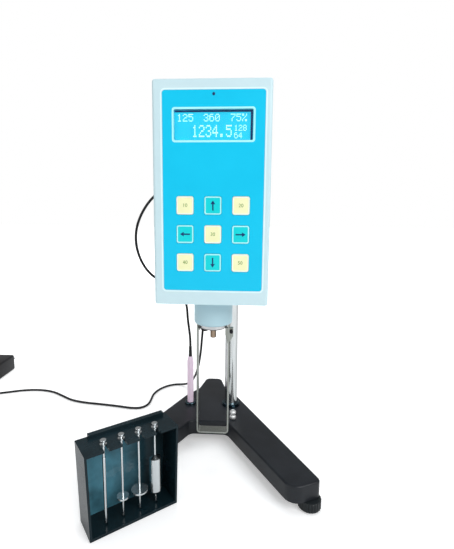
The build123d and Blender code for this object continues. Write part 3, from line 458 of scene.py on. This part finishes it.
black_plastic = skin_material(
    "black_plastic", (0.010, 0.010, 0.012), (0.020, 0.020, 0.023), 0.38,
    smear=0.12, scale=900, bump=0.3, gloss=0.35,
)
PLUG_RADIUS = 0.0046
SLEEVE_RIDGES = 4
SLEEVE_START = 0.0104
SLEEVE_TAPER = 0.0017
RIDGE_RADIUS = 0.0040
RIDGE_PITCH = 0.0016
RIDGE_DEPTH = 0.0007
plug_bm = bmesh.new()
plug_profile = [
    (PLUG_RADIUS - 0.0006, 0),
    (PLUG_RADIUS, 0.0007),
    (PLUG_RADIUS, 0.0095),
    (PLUG_RADIUS - 0.0008, 0.0102),
]
for step in range(SLEEVE_RIDGES):
    ridge = RIDGE_RADIUS - SLEEVE_TAPER * (step / SLEEVE_RIDGES)
    start = SLEEVE_START + RIDGE_PITCH * step
    plug_profile += [
        (ridge, start),
        (ridge, start + 0.0008),
        (ridge - RIDGE_DEPTH, start + 0.0010),
        (ridge - RIDGE_DEPTH, start + 0.0014),
    ]
plug_profile.append((CORD_RADIUS + 0.0002, PLUG_LENGTH))
add_turned(plug_bm, plug_profile, 40, axis_frame((JACK.x, PLUG_START, JACK.z), (0, 1, 0)))
barrel_plug = link_mesh("barrel_plug", plug_bm, black_plastic)
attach(barrel_plug, "head")

ADAPTER_LOW = Vector((-0.458, 0.2026, 0.0))
ADAPTER_HIGH = Vector((-0.416, 0.2646, 0.030))
adapter_bm = bmesh.new()
# The boss comes before the bevelled boxes, which keeps the order of the faces
# the same in each run.
add_turned(
    adapter_bm,
    [(0.0026, 0), (0.0032, 0.0006), (0.0036, 0.004), (0.0040, 0.0065)],
    32,
    axis_frame(ADAPTER_BOSS, (0, 1, 0)),
)
add_soft_box(adapter_bm, ADAPTER_LOW, ADAPTER_HIGH, 0.0035, 4)
add_soft_box(
    adapter_bm,
    (ADAPTER_LOW.x + 0.004, ADAPTER_HIGH.y - 0.002, 0.004),
    (ADAPTER_HIGH.x - 0.004, ADAPTER_HIGH.y + 0.0012, 0.026),
    0.0008,
)
adapter = link_mesh("wall_adapter", adapter_bm, black_plastic)
pin_bm = bmesh.new()
for side in (-1, 1):
    add_turned(
        pin_bm,
        [(0.0019, 0), (0.0019, 0.0165), (0.0012, 0.0178), (0, 0.0180)],
        24,
        axis_frame(((ADAPTER_LOW.x + ADAPTER_HIGH.x) / 2 + side * 0.0095, ADAPTER_HIGH.y, 0.015), (0, 1, 0)),
    )

# -------------------------------------------------------------- metal parts
# Turned and ground steel, bright plating and anodised aluminium.  The tool
# marks run round or along each piece.


def brushed_group():
    """Long thin tool marks along one direction, as height and as a change of gloss."""
    group, start, end = make_group(
        "brushed",
        [
            ("Stretch", "NodeSocketVector", (1.0, 1.0, 1.0)),
            ("Scale", "NodeSocketFloat", 400.0),
            ("Roughness", "NodeSocketFloat", 0.3),
            ("Spread", "NodeSocketFloat", 0.15),
        ],
        [("Height", "NodeSocketFloat"), ("Roughness", "NodeSocketFloat"), ("Tone", "NodeSocketFloat")],
    )
    place = group.nodes.new("ShaderNodeTexCoord")
    scaled = group.nodes.new("ShaderNodeVectorMath")
    scaled.operation = "MULTIPLY"
    marks = group.nodes.new("ShaderNodeTexNoise")
    marks.inputs["Detail"].default_value = 4
    marks.inputs["Roughness"].default_value = 0.65
    centred = group.nodes.new("ShaderNodeMath")
    centred.operation = "SUBTRACT"
    centred.inputs[1].default_value = 0.5
    spread = group.nodes.new("ShaderNodeMath")
    spread.operation = "MULTIPLY_ADD"
    link = group.links.new
    link(place.outputs["Object"], scaled.inputs[0])
    link(start.outputs["Stretch"], scaled.inputs[1])
    link(scaled.outputs[0], marks.inputs["Vector"])
    link(start.outputs["Scale"], marks.inputs["Scale"])
    link(marks.outputs["Fac"], centred.inputs[0])
    link(centred.outputs[0], spread.inputs[0])
    link(start.outputs["Spread"], spread.inputs[1])
    link(start.outputs["Roughness"], spread.inputs[2])
    link(marks.outputs["Fac"], end.inputs["Height"])
    link(spread.outputs[0], end.inputs["Roughness"])
    link(marks.outputs["Fac"], end.inputs["Tone"])
    return group


BRUSHED = brushed_group()


def metal_material(
    name, dark, light, roughness, stretch=(1, 1, 0.05), scale=500.0, spread=0.15, bump=0.08, edge=0.35
):
    """Bare or plated metal with tool marks along one direction, and painted shade that darkens its colour
    where it turns away from the viewer.
    """
    material, tree, shader = new_material(name)
    marks = place_group(tree, BRUSHED, Stretch=stretch, Scale=scale, Roughness=roughness, Spread=spread)
    ramp = tone_ramp(tree, marks.outputs["Tone"], dark, light)
    # Painted shade: the colour is scaled down towards the outline, to the edge share where the surface turns
    # fully away.
    facing = tree.nodes.new("ShaderNodeLayerWeight")
    facing.inputs["Blend"].default_value = 0.45
    painted_outline_shade = tree.nodes.new("ShaderNodeMapRange")
    painted_outline_shade.inputs["From Min"].default_value = 0.25
    painted_outline_shade.inputs["From Max"].default_value = 0.95
    painted_outline_shade.inputs["To Min"].default_value = 1.0
    painted_outline_shade.inputs["To Max"].default_value = edge
    shaded = tree.nodes.new("ShaderNodeVectorMath")
    shaded.operation = "SCALE"
    tree.links.new(facing.outputs["Facing"], painted_outline_shade.inputs["Value"])
    tree.links.new(ramp.outputs["Color"], shaded.inputs[0])
    tree.links.new(painted_outline_shade.outputs[0], shaded.inputs["Scale"])
    tree.links.new(shaded.outputs[0], shader.inputs["Base Color"])
    tree.links.new(marks.outputs["Roughness"], shader.inputs["Roughness"])
    shader.inputs["Metallic"].default_value = 1.0
    add_bump(tree, shader, marks.outputs["Height"], bump, 0.00003)
    return material


def dress(node, material, smooth=28):
    """Gives a carried-over part its finish and its shading."""
    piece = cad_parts[node]
    piece.data.materials.clear()
    piece.data.materials.append(material)
    weld = piece.modifiers.new("weld", "WELD")
    weld.merge_threshold = 0.000002
    piece.data.shade_smooth()
    shade = piece.modifiers.new("edges", "EDGE_SPLIT")
    shade.split_angle = math.radians(smooth)
    return piece


steel = metal_material("steel", (0.52, 0.53, 0.54), (0.72, 0.72, 0.73), 0.24)
chrome = metal_material(
    "chrome", (0.62, 0.65, 0.68), (0.74, 0.77, 0.79), 0.10,
    stretch=(1, 1, 1), scale=90, spread=0.06, bump=0.02,
)
dark_chrome = metal_material(
    "dark_chrome", (0.05, 0.09, 0.11), (0.09, 0.14, 0.17), 0.12,
    stretch=(1, 1, 1), scale=90, spread=0.06, bump=0.02,
)
stainless = metal_material(
    "stainless", (0.66, 0.70, 0.72), (0.80, 0.84, 0.85), 0.24,
    stretch=(1, 1, 0.03), scale=900, spread=0.15, edge=0.5,
)
guard_steel = metal_material(
    "guard_steel", (0.30, 0.32, 0.29), (0.42, 0.44, 0.41), 0.30,
    stretch=(1, 1, 0.03), scale=900, spread=0.2, edge=0.6,
)
aluminium = metal_material(
    "aluminium", (0.60, 0.61, 0.62), (0.76, 0.77, 0.78), 0.34,
    stretch=(0.05, 1, 1), scale=600,
)
brass = metal_material("brass", (0.55, 0.40, 0.16), (0.80, 0.62, 0.30), 0.26)
bronze = metal_material("bronze", (0.28, 0.20, 0.14), (0.42, 0.32, 0.24), 0.28)
black_steel = metal_material("black_steel", (0.025, 0.025, 0.028), (0.05, 0.05, 0.055), 0.36)
spring_steel = metal_material("spring_steel", (0.18, 0.22, 0.40), (0.32, 0.36, 0.52), 0.25)
motor_steel = metal_material("motor_steel", (0.22, 0.23, 0.25), (0.34, 0.35, 0.37), 0.38)

pins = link_mesh("adapter_pins", pin_bm, chrome)
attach(adapter, "stand")
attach(pins, "stand")
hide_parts("power_plugs")
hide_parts("power_cord", "power_coil")
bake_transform(power_cord)

# -------------------------------------------------------------- probe lead
# The lead of the temperature probe: from the probe's sleeve up past the
# neck, out in a wide loop beside the head and back to its gland.

PROBE_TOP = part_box("probe_relief")[1].z
GLAND = Vector((-0.042, 0.0604, 0.345))
PROBE = Vector((-0.0388, 0.0885, PROBE_TOP))
probe_points = [
    tuple(PROBE),
    (PROBE.x, PROBE.y, 0.133),
    (-0.0402, 0.085, 0.150),
    (-0.0416, 0.079, 0.168),
    (-0.0414, 0.072, 0.186),
    (-0.045, 0.0665, 0.203),
    (-0.058, 0.064, 0.217),
    (-0.075, 0.062, 0.224),
    (-0.091, 0.061, 0.234),
    (-0.1035, 0.0605, 0.252),
    (-0.110, 0.060, 0.274),
    (-0.1095, 0.060, 0.296),
    (-0.102, 0.0605, 0.317),
    (-0.0895, 0.062, 0.336),
    (-0.0735, 0.065, 0.350),
    (-0.058, 0.069, 0.354),
    (-0.0475, 0.0715, 0.3505),
    (GLAND.x, GLAND.y + 0.0065, GLAND.z),
    tuple(GLAND),
]
probe_cord, probe_path = as_tube(nurbs_route("probe_lead", probe_points, CORD_RADIUS))
probe_cord.data.materials.append(cord_rubber)
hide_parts("probe_cord")
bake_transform(probe_cord)
dress("probe_relief", cord_rubber)

# ------------------------------------------------------------------- stand
# Tripod casting in glossy black enamel, a ground steel post with a plated
# nut at its foot, and three levelling feet with fluted grips.

enamel = skin_material(
    "enamel", (0.008, 0.010, 0.013), (0.016, 0.019, 0.024), 0.34,
    smear=0.14, scale=700, bump=0.3, depth=0.00012, gloss=0.3,
)
dress("base_casting", enamel)
# The post's colour falls to 0.12 at its outline: strong painted shade on its sides.
post_steel = metal_material(
    "post_steel", (0.66, 0.69, 0.69), (0.80, 0.83, 0.83), 0.13,
    stretch=(1, 1, 0.04), scale=700, spread=0.10, edge=0.12,
)
dress("post", post_steel)
dress("post_collar", dark_chrome)
dress("post_bolt", steel)
zinc = metal_material(
    "zinc", (0.90, 0.92, 0.92), (0.98, 0.99, 0.99), 0.55,
    stretch=(1, 1, 1), scale=300, edge=0.85,
)
dress("lock_nuts", zinc)
dress("probe_ring", dark_chrome)
foot_plastic = skin_material(
    "foot_plastic", (0.008, 0.012, 0.014), (0.018, 0.023, 0.026), 0.40,
    smear=0.12, scale=800, bump=0.3, gloss=0.35,
)
for name in ("foot_right", "foot_left", "foot_rear"):
    dress(name, foot_plastic)
probe_plastic = skin_material(
    "probe_plastic", (0.98, 0.74, 0.93), (1.0, 0.82, 0.97), 0.34,
    smear=0.1, scale=900, bump=0.12, coat=0.2,
)
dress("probe_sleeve", probe_plastic)

# ---------------------------------------------------------------- carriage
# Black anodised clamp block with its hand knobs: the large one turns the
# pinion, the two smaller ones lock the slide and the rod.

black_aluminium = metal_material(
    "black_aluminium", (0.022, 0.022, 0.024), (0.030, 0.030, 0.033), 0.44,
    stretch=(1, 1, 0.2), scale=900, spread=0.08,
)
dress("carriage_block", black_aluminium)
dress("lift_pinion", steel)
knob_plastic = skin_material(
    "knob_plastic", (0.010, 0.010, 0.011), (0.020, 0.020, 0.022), 0.36,
    smear=0.12, scale=900, bump=0.3, gloss=0.35,
)
for name in ("lift_knob", "lock_knob", "rod_clamp_knob"):
    dress(name, knob_plastic)
dress("handle_rod", steel)

# -------------------------------------------------------------------- head
# Two aluminium shells sprayed pale grey-blue with a fine texture, closed by
# black screws at the back.

head_paint = skin_material(
    "head_paint", (0.58, 0.77, 0.83), (0.61, 0.80, 0.855), 0.42,
    smear=0.06, scale=1500, bump=0.2, depth=0.00008,
)
dress("front_shell", head_paint)
dress("rear_cover", head_paint)
dress("head_screws", black_steel)
dress("chassis_plate", aluminium)
board_green = skin_material("board_green", (0.01, 0.10, 0.04), (0.02, 0.16, 0.06), 0.35)
dress("main_board", board_green)
dress("rear_sockets", black_plastic)
dress("power_rocker", black_plastic)
dress("bubble_level", chrome)

# ------------------------------------------------------------ bubble level
# Sealed glass cell in a plated ring on the lid: green spirit, a black circle
# to centre on and one pale bubble.

level_low, level_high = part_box("bubble_level")
LEVEL_X = (level_low.x + level_high.x) / 2
LEVEL_Y = (level_low.y + level_high.y) / 2
LEVEL_TOP = level_high.z - 0.0006
CELL_RADIUS = 0.0049
CIRCLE_OUTER, CIRCLE_INNER = 0.0026, 0.0023
CIRCLE_HEIGHT = 0.0001
CIRCLE_SIDES = 40
BUBBLE = (0.0006, -0.0004)
spirit_green = skin_material(
    "spirit_green", (0.42, 0.72, 0.05), (0.52, 0.80, 0.09), 0.08,
    scale=400, bump=0.02, coat=0.6,
)
level_black = skin_material("level_black", (0.01, 0.01, 0.01), (0.02, 0.02, 0.02), 0.3, bump=0.02)
bubble_pale = skin_material("bubble_pale", (0.80, 0.92, 0.62), (0.88, 0.96, 0.72), 0.06, bump=0.02, coat=0.6)
cell_bm = add_turned(
    bmesh.new(),
    [(CELL_RADIUS, -0.0022), (CELL_RADIUS, -0.0002), (CELL_RADIUS - 0.0002, 0)],
    CIRCLE_SIDES,
    Matrix.Translation((LEVEL_X, LEVEL_Y, LEVEL_TOP)),
)
circle_bm = bmesh.new()
circle_rings = []
for radius, lift in (
    (CIRCLE_OUTER, 0), (CIRCLE_OUTER, CIRCLE_HEIGHT), (CIRCLE_INNER, CIRCLE_HEIGHT), (CIRCLE_INNER, 0)
):
    places = [(LEVEL_X + x, LEVEL_Y + y, LEVEL_TOP + lift) for x, y in ring_of(radius, CIRCLE_SIDES)]
    circle_rings.append([circle_bm.verts.new(place) for place in places])
for first, second in zip(circle_rings, circle_rings[1:] + circle_rings[:1]):
    for i in range(CIRCLE_SIDES):
        j = (i + 1) % CIRCLE_SIDES
        circle_bm.faces.new((first[i], first[j], second[j], second[i]))
bmesh.ops.recalc_face_normals(circle_bm, faces=circle_bm.faces)
bubble_bm = add_turned(
    bmesh.new(),
    [(0.0016, 0), (0.0014, 0.0003), (0.0008, 0.00045), (0, 0.0005)],
    28,
    Matrix.Translation((LEVEL_X + BUBBLE[0], LEVEL_Y + BUBBLE[1], LEVEL_TOP)),
)
for name, bm, material, slot in (
    ("level_cell", cell_bm, spirit_green, "window"),
    ("level_circle", circle_bm, level_black, "black_plastic"),
    ("level_bubble", bubble_bm, bubble_pale, "window"),
):
    piece = link_mesh(name, bm, material)
    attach(piece, "head")

# ------------------------------------------------------------------- panel
# Printed film over the whole front: clear blue with pale borders round the
# display and the keys, arrow keys in turquoise and function keys in cream.


def film_material(name, dark, light, roughness=0.34):
    """Printed plastic film or a moulded key."""
    return skin_material(name, dark, light, roughness, smear=0.1, scale=700, bump=0.06, gloss=0.3)


film_blue = film_material("film_blue", (0.001, 0.56, 0.86), (0.002, 0.585, 0.885))
film_pale = film_material("film_pale", (0.38, 0.92, 0.97), (0.48, 0.96, 1.0))
film_white = film_material("film_white", (0.72, 0.94, 0.98), (0.78, 0.96, 1.0))
key_cream = film_material("key_cream", (0.90, 0.91, 0.52), (0.94, 0.95, 0.60))
key_blue = film_material("key_blue", (0.002, 0.66, 0.70), (0.004, 0.71, 0.75))
# The navy serves as print on the arrows and the lamp, and as painted shadow at the display's edge.
navy_ink_and_shade = film_material("navy_ink_and_shade", (0.004, 0.03, 0.12), (0.008, 0.045, 0.17))
ink_olive = film_material("ink_olive", (0.16, 0.30, 0.05), (0.22, 0.38, 0.08))
dress("overlay_panel", film_blue)
CREAM_KEYS = ("key_1_1", "key_1_3", "key_2_2", "key_3_1", "key_3_3")
ARROWS = {"key_1_2": 90, "key_2_1": 180, "key_2_3": 0, "key_3_2": 270}
for name in CREAM_KEYS:
    dress(name, key_cream)
for name in ARROWS:
    dress(name, key_blue)

panel_low, panel_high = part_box("overlay_panel")
FILM_Y = panel_low.y
PRINT = 0.00012


def rounded_outline(width, height, radius, steps=6):
    """Corner points of a rounded rectangle, anticlockwise from the lower right."""
    points = []
    for quarter, (sx, sy) in enumerate(((1, -1), (1, 1), (-1, 1), (-1, -1))):
        for i in range(steps + 1):
            angle = -math.pi / 2 + quarter * math.pi / 2 + i * math.pi / 2 / steps
            x = sx * (width / 2 - radius) + radius * math.cos(angle)
            z = sy * (height / 2 - radius) + radius * math.sin(angle)
            points.append((x, z))
    return points


def add_frame(bm, x, z, inner, outer, y, thickness):
    """Flat rounded frame in the XZ plane, standing proud of y towards the viewer."""
    loops = []
    for (width, height, radius) in (inner, outer):
        for depth in (y, y - thickness):
            outline = rounded_outline(width, height, radius)
            loops.append([bm.verts.new((x + px, depth, z + pz)) for px, pz in outline])
    inner_back, inner_front, outer_back, outer_front = loops
    count = len(inner_back)
    for i in range(count):
        j = (i + 1) % count
        bm.faces.new((inner_front[i], inner_front[j], outer_front[j], outer_front[i]))
        bm.faces.new((outer_front[i], outer_front[j], outer_back[j], outer_back[i]))
        bm.faces.new((outer_back[i], outer_back[j], inner_back[j], inner_back[i]))
        bm.faces.new((inner_back[i], inner_back[j], inner_front[j], inner_front[i]))
    bmesh.ops.recalc_face_normals(bm, faces=bm.faces)


def add_plate(bm, outline, y, thickness):
    """Thin closed plate from an outline in the XZ plane, proud of y."""
    back = [bm.verts.new((x, y, z)) for x, z in outline]
    front = [bm.verts.new((x, y - thickness, z)) for x, z in outline]
    bm.faces.new(front)
    bm.faces.new(back[::-1])
    for i in range(len(outline)):
        j = (i + 1) % len(outline)
        bm.faces.new((front[j], front[i], back[i], back[j]))
    bmesh.ops.recalc_face_normals(bm, faces=bm.faces)


window_low, window_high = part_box("display_window")
window_x = (window_low.x + window_high.x) / 2
window_z = (window_low.z + window_high.z) / 2
WINDOW_SIZE = (window_high.x - window_low.x, window_high.z - window_low.z)
border_bm = bmesh.new()
add_frame(
    border_bm, window_x, window_z,
    (WINDOW_SIZE[0] + 0.0004, WINDOW_SIZE[1] + 0.0004, 0.0016),
    (WINDOW_SIZE[0] + 0.0044, WINDOW_SIZE[1] + 0.0044, 0.0030),
    FILM_Y, PRINT,
)
panel_x, panel_z = (panel_low.x + panel_high.x) / 2, (panel_low.z + panel_high.z) / 2
panel_width, panel_height = panel_high.x - panel_low.x, panel_high.z - panel_low.z
SHELL_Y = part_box("front_shell")[0].y
rim_bm = bmesh.new()
add_frame(
    rim_bm, panel_x, panel_z,
    (panel_width + 0.0010, panel_height + 0.0010, 0.0035),
    (panel_width + 0.0040, panel_height + 0.0040, 0.0050),
    SHELL_Y, PRINT,
)
rim = link_mesh("panel_rim", rim_bm, film_white)
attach(rim, "head")
borders = link_mesh("panel_borders", border_bm, film_pale)
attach(borders, "head")

key_white = film_material("key_white", (0.90, 0.97, 0.86), (0.94, 0.99, 0.90))
KEY_WIDTH, KEY_HEIGHT, KEY_BORDER = 0.0180, 0.0190, 0.0014
for name in (*CREAM_KEYS, *ARROWS):
    low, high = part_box(name)
    frame_bm = bmesh.new()
    add_frame(
        frame_bm, (low.x + high.x) / 2, (low.z + high.z) / 2,
        (KEY_WIDTH - 2 * KEY_BORDER, KEY_HEIGHT - 2 * KEY_BORDER, 0.0012),
        (KEY_WIDTH - 0.0002, KEY_HEIGHT - 0.0002, 0.0023),
        low.y, PRINT,
    )
    key_frame = link_mesh(f"frame_{name}", frame_bm, key_white if name in CREAM_KEYS else film_pale)
    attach(key_frame, name)

ARROW_HALF = 0.00525
ARROW_NECK = 0.00145    # from the middle of the arrow to the back of its head
SHAFT_HALF = 0.0007
HEAD_HALF = 0.0024
for name, angle in ARROWS.items():
    low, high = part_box(name)
    x, z = (low.x + high.x) / 2, (low.z + high.z) / 2
    outline = [
        (-ARROW_HALF, -SHAFT_HALF), (ARROW_NECK, -SHAFT_HALF), (ARROW_NECK, -HEAD_HALF),
        (ARROW_HALF, 0),
        (ARROW_NECK, HEAD_HALF), (ARROW_NECK, SHAFT_HALF), (-ARROW_HALF, SHAFT_HALF),
    ]
    turn = math.radians(angle)
    placed = [
        (x + px * math.cos(turn) - pz * math.sin(turn), z + px * math.sin(turn) + pz * math.cos(turn))
        for px, pz in outline
    ]
    arrow_bm = bmesh.new()
    add_plate(arrow_bm, placed, low.y, PRINT)
    arrow = link_mesh(f"arrow_{name}", arrow_bm, navy_ink_and_shade)
    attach(arrow, name)


def flat_text(name, words, size, x, y, z, material, body, align="CENTER"):
    """Printed figures as thin solid letters facing the viewer."""
    data = bpy.data.curves.new(name, "FONT")
    data.body = words
    data.size = size
    data.align_x = align
    data.align_y = "CENTER"
    data.extrude = PRINT / 2
    piece = bpy.data.objects.new(name, data)
    bpy.context.scene.collection.objects.link(piece)
    piece.matrix_world = Matrix.Translation((x, y - PRINT / 2, z)) @ Matrix.Rotation(math.pi / 2, 4, "X")
    data.materials.append(material)
    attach(piece, body)
    return piece


for number, name in enumerate(CREAM_KEYS):
    low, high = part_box(name)
    x, z = (low.x + high.x) / 2, (low.z + high.z) / 2
    flat_text(f"figure_{name}", str(10 * (number + 1)), 0.0052, x, low.y, z, ink_olive, name)

# ----------------------------------------------------------------- display
# Liquid-crystal display behind a clear window: a bright cyan field with a painted navy
# shadow along its top and right edges, and pale figures made of small square dots.

display_material, display_tree, display_shader = new_material("display")
display_grain = place_group(display_tree, GRAIN, Scale=900.0, Roughness=0.25, Smear=0.05)
display_ramp = tone_ramp(display_tree, display_grain.outputs["Tone"], (0.0, 0.56, 0.80), (0.0, 0.62, 0.86))
display_tree.links.new(display_ramp.outputs["Color"], display_shader.inputs["Base Color"])
display_tree.links.new(display_ramp.outputs["Color"], display_shader.inputs["Emission Color"])
display_shader.inputs["Emission Strength"].default_value = 0.12
dress("display_module", display_material)

glass, _, glass_shader = new_material("window_glass")
glass_shader.inputs["Transmission Weight"].default_value = 1.0
glass_shader.inputs["Metallic"].default_value = 0.0
glass_shader.inputs["Roughness"].default_value = 0.02
glass_shader.inputs["IOR"].default_value = 1.12
glass_shader.inputs["Base Color"].default_value = (0.9, 0.98, 1.0, 1)
dress("display_window", glass)

DOT_ROWS = {
    "0": ("01110", "10001", "10011", "10101", "11001", "10001", "01110"),
    "1": ("00100", "01100", "00100", "00100", "00100", "00100", "01110"),
    "2": ("01110", "10001", "00001", "00110", "01000", "10000", "11111"),
    "3": ("01110", "10001", "00001", "00110", "00001", "10001", "01110"),
    "4": ("00010", "00110", "01010", "10010", "11111", "00010", "00010"),
    "5": ("11111", "10000", "11110", "00001", "00001", "10001", "01110"),
    "6": ("01110", "10000", "11110", "10001", "10001", "10001", "01110"),
    "7": ("11111", "00001", "00010", "00100", "01000", "01000", "01000"),
    "8": ("01110", "10001", "10001", "01110", "10001", "10001", "01110"),
    "9": ("01110", "10001", "10001", "01111", "00001", "00001", "01110"),
    ".": ("00000", "00000", "00000", "00000", "00000", "01100", "01100"),
    "%": ("11001", "11001", "00010", "00100", "01000", "10011", "10011"),
}


DOT_FILL = 0.8          # share of a dot's pitch that is lit
DOT_COLUMNS = 6         # five dots and the gap to the next figure


def add_figures(bm, words, left, top, dot_w, dot_h, y):
    """Figures of five by seven dots, from the upper left corner."""
    for place, letter in enumerate(words):
        if letter == " ":
            continue
        for row, bits in enumerate(DOT_ROWS[letter]):
            for column, bit in enumerate(bits):
                if bit == "1":
                    x = left + (place * DOT_COLUMNS + column) * dot_w
                    z = top - row * dot_h
                    side, foot = x + dot_w * DOT_FILL, z - dot_h * DOT_FILL
                    add_plate(bm, [(x, foot), (side, foot), (side, z), (x, z)], y, PRINT)


digit_white, digit_tree, digit_shader = new_material("digit_white")
digit_grain = place_group(digit_tree, GRAIN, Scale=900.0, Roughness=0.3)
digit_ramp = tone_ramp(digit_tree, digit_grain.outputs["Tone"], (0.55, 0.98, 1.0), (0.70, 1.0, 1.0))
digit_tree.links.new(digit_ramp.outputs["Color"], digit_shader.inputs["Base Color"])
digit_tree.links.new(digit_ramp.outputs["Color"], digit_shader.inputs["Emission Color"])
digit_shader.inputs["Emission Strength"].default_value = 0.35
GLASS_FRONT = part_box("display_module")[0].y
SMALL_DOT = (0.00098, 0.00108)
LARGE_DOT = (0.00117, 0.00175)
FINE_DOT = (0.00075, 0.00085)
figures_bm = bmesh.new()
field_left, field_top = window_x - WINDOW_SIZE[0] / 2, window_z + WINDOW_SIZE[1] / 2
for words, from_left, from_top, dot in (
    ("125", 0.0030, 0.0040, SMALL_DOT),
    ("360", 0.0305, 0.0040, SMALL_DOT),
    ("75%", 0.0582, 0.0040, SMALL_DOT),
    ("1234.5", 0.0185, 0.0150, LARGE_DOT),
    ("128", 0.0620, 0.0150, FINE_DOT),
    ("64", 0.0620, 0.0225, FINE_DOT),
):
    add_figures(figures_bm, words, field_left + from_left, field_top - from_top, *dot, GLASS_FRONT)
figures = link_mesh("display_figures", figures_bm, digit_white)
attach(figures, "head")

# Painted shadow: a navy strip laid along the top and right inside edges of the field.
EDGE_MARGIN = 0.0004
EDGE_WIDTH = 0.0022
edge_left, edge_right = field_left + EDGE_MARGIN, field_left + WINDOW_SIZE[0] - EDGE_MARGIN
edge_top, edge_foot = field_top - 0.0003, field_top - WINDOW_SIZE[1] + EDGE_MARGIN
shade_bm = bmesh.new()
add_plate(
    shade_bm,
    [
        (edge_left, field_top - EDGE_WIDTH),
        (edge_left, edge_top),
        (edge_right, edge_top),
        (edge_right, edge_foot),
        (edge_right - EDGE_WIDTH, edge_foot),
        (edge_right - EDGE_WIDTH, field_top - EDGE_WIDTH),
    ][::-1],
    GLASS_FRONT, PRINT,
)
shade = link_mesh("display_edge_shadow", shade_bm, navy_ink_and_shade)
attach(shade, "head")

LAMP_X, LAMP_Z = window_x + 0.0002, 0.4399
lens_bm = add_turned(
    bmesh.new(),
    [(0.0015, 0), (0.0015, 0.0003), (0.0010, 0.0006), (0, 0.0007)],
    24,
    axis_frame((LAMP_X, FILM_Y, LAMP_Z), (0, -1, 0)),
)
lens = link_mesh("lamp_lens", lens_bm, navy_ink_and_shade)
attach(lens, "head")

# -------------------------------------------------- neck, guard and spindle
# Turned neck in grey-blue paint, a bent stainless strip as guard, and the
# coupling that takes the spindle.

neck_paint = skin_material(
    "neck_paint", (0.46, 0.67, 0.75), (0.50, 0.72, 0.80), 0.34, smear=0.06, scale=1300, bump=0.15
)
for name, material in (
    ("neck_housing", neck_paint),
    ("neck_cap", aluminium),
    ("guard", guard_steel),
    ("coupling_nut", bronze),
    ("pivot_shaft", steel),
    ("lower_disc", aluminium),
    ("upper_disc", aluminium),
    ("hairspring", spring_steel),
    ("bearings", steel),
    ("motor", motor_steel),
    ("motor_pinion", steel),
    ("drive_shaft", steel),
    ("drive_gear", brass),
):
    dress(name, material)

# ------------------------------------------------------------ spindle case
# Open-fronted case moulded in glossy black, with the four measuring
# spindles standing in the slots of its top plate.

# Near-black plastic; the faint teal in its two shades is painted reflection.
case_plastic = skin_material(
    "case_plastic", (0.004, 0.012, 0.016), (0.007, 0.020, 0.027), 0.26,
    smear=0.16, scale=500, bump=0.12, gloss=0.22,
)
CASE_CORNER = Vector((-0.113, -0.1332, 0))
CASE_TURN = math.radians(37.36)
CASE_DEPTH = 0.0335
BACK_WALL = (CASE_DEPTH - 0.0035, CASE_DEPTH - 0.0030)
FACING_OUT = (0.5, 0.9)
LEFT_FADE = (-0.088, -0.025)
inward = Vector((-math.sin(CASE_TURN), math.cos(CASE_TURN), 0))
across = Vector((math.cos(CASE_TURN), math.sin(CASE_TURN), 0))
case_tree = case_plastic.node_tree
case_shader = case_tree.nodes["Principled BSDF"]
case_place = case_tree.nodes.new("ShaderNodeTexCoord")


def measure(output, direction, start, low, high):
    """Smooth 0 to 1 step of a distance along a direction."""
    along = case_tree.nodes.new("ShaderNodeVectorMath")
    along.operation = "DOT_PRODUCT"
    along.inputs[1].default_value = direction
    step = case_tree.nodes.new("ShaderNodeMapRange")
    step.interpolation_type = "SMOOTHSTEP"
    step.inputs["From Min"].default_value = start + low
    step.inputs["From Max"].default_value = start + high
    case_tree.links.new(case_place.outputs[output], along.inputs[0])
    case_tree.links.new(along.outputs["Value"], step.inputs["Value"])
    return step.outputs[0]


def product(first, second):
    """One mask times another."""
    node = case_tree.nodes.new("ShaderNodeMath")
    node.operation = "MULTIPLY"
    case_tree.links.new(first, node.inputs[0])
    case_tree.links.new(second, node.inputs[1])
    return node.outputs[0]


# Painted reflection: a teal sheen painted into the colour of the back wall's smooth inner face, stronger to
# the left and broken up by noise.
deep = measure("Object", inward, CASE_CORNER.dot(inward), *BACK_WALL)
faces_out = measure("Normal", -inward, 0, *FACING_OUT)
leftwards = measure("Object", -across, -CASE_CORNER.dot(across), *LEFT_FADE)
sheen_breakup = case_tree.nodes.new("ShaderNodeTexNoise")
sheen_breakup.inputs["Scale"].default_value = 45
sheen_breakup.inputs["Detail"].default_value = 3
case_tree.links.new(case_place.outputs["Object"], sheen_breakup.inputs["Vector"])
painted_sheen_mask = product(product(deep, faces_out), product(leftwards, sheen_breakup.outputs["Fac"]))
painted_sheen = case_tree.nodes.new("ShaderNodeMix")
painted_sheen.data_type = "RGBA"
painted_sheen.inputs["B"].default_value = (0.11, 0.36, 0.48, 1)
dark_plastic = case_shader.inputs["Base Color"].links[0].from_socket
case_tree.links.new(painted_sheen_mask, painted_sheen.inputs["Factor"])
case_tree.links.new(dark_plastic, painted_sheen.inputs["A"])
case_tree.links.new(painted_sheen.outputs["Result"], case_shader.inputs["Base Color"])
dress("case_shell", case_plastic)
dress("case_shelf", case_plastic)
for number in range(1, 5):
    dress(f"spindle_{number}", stainless)
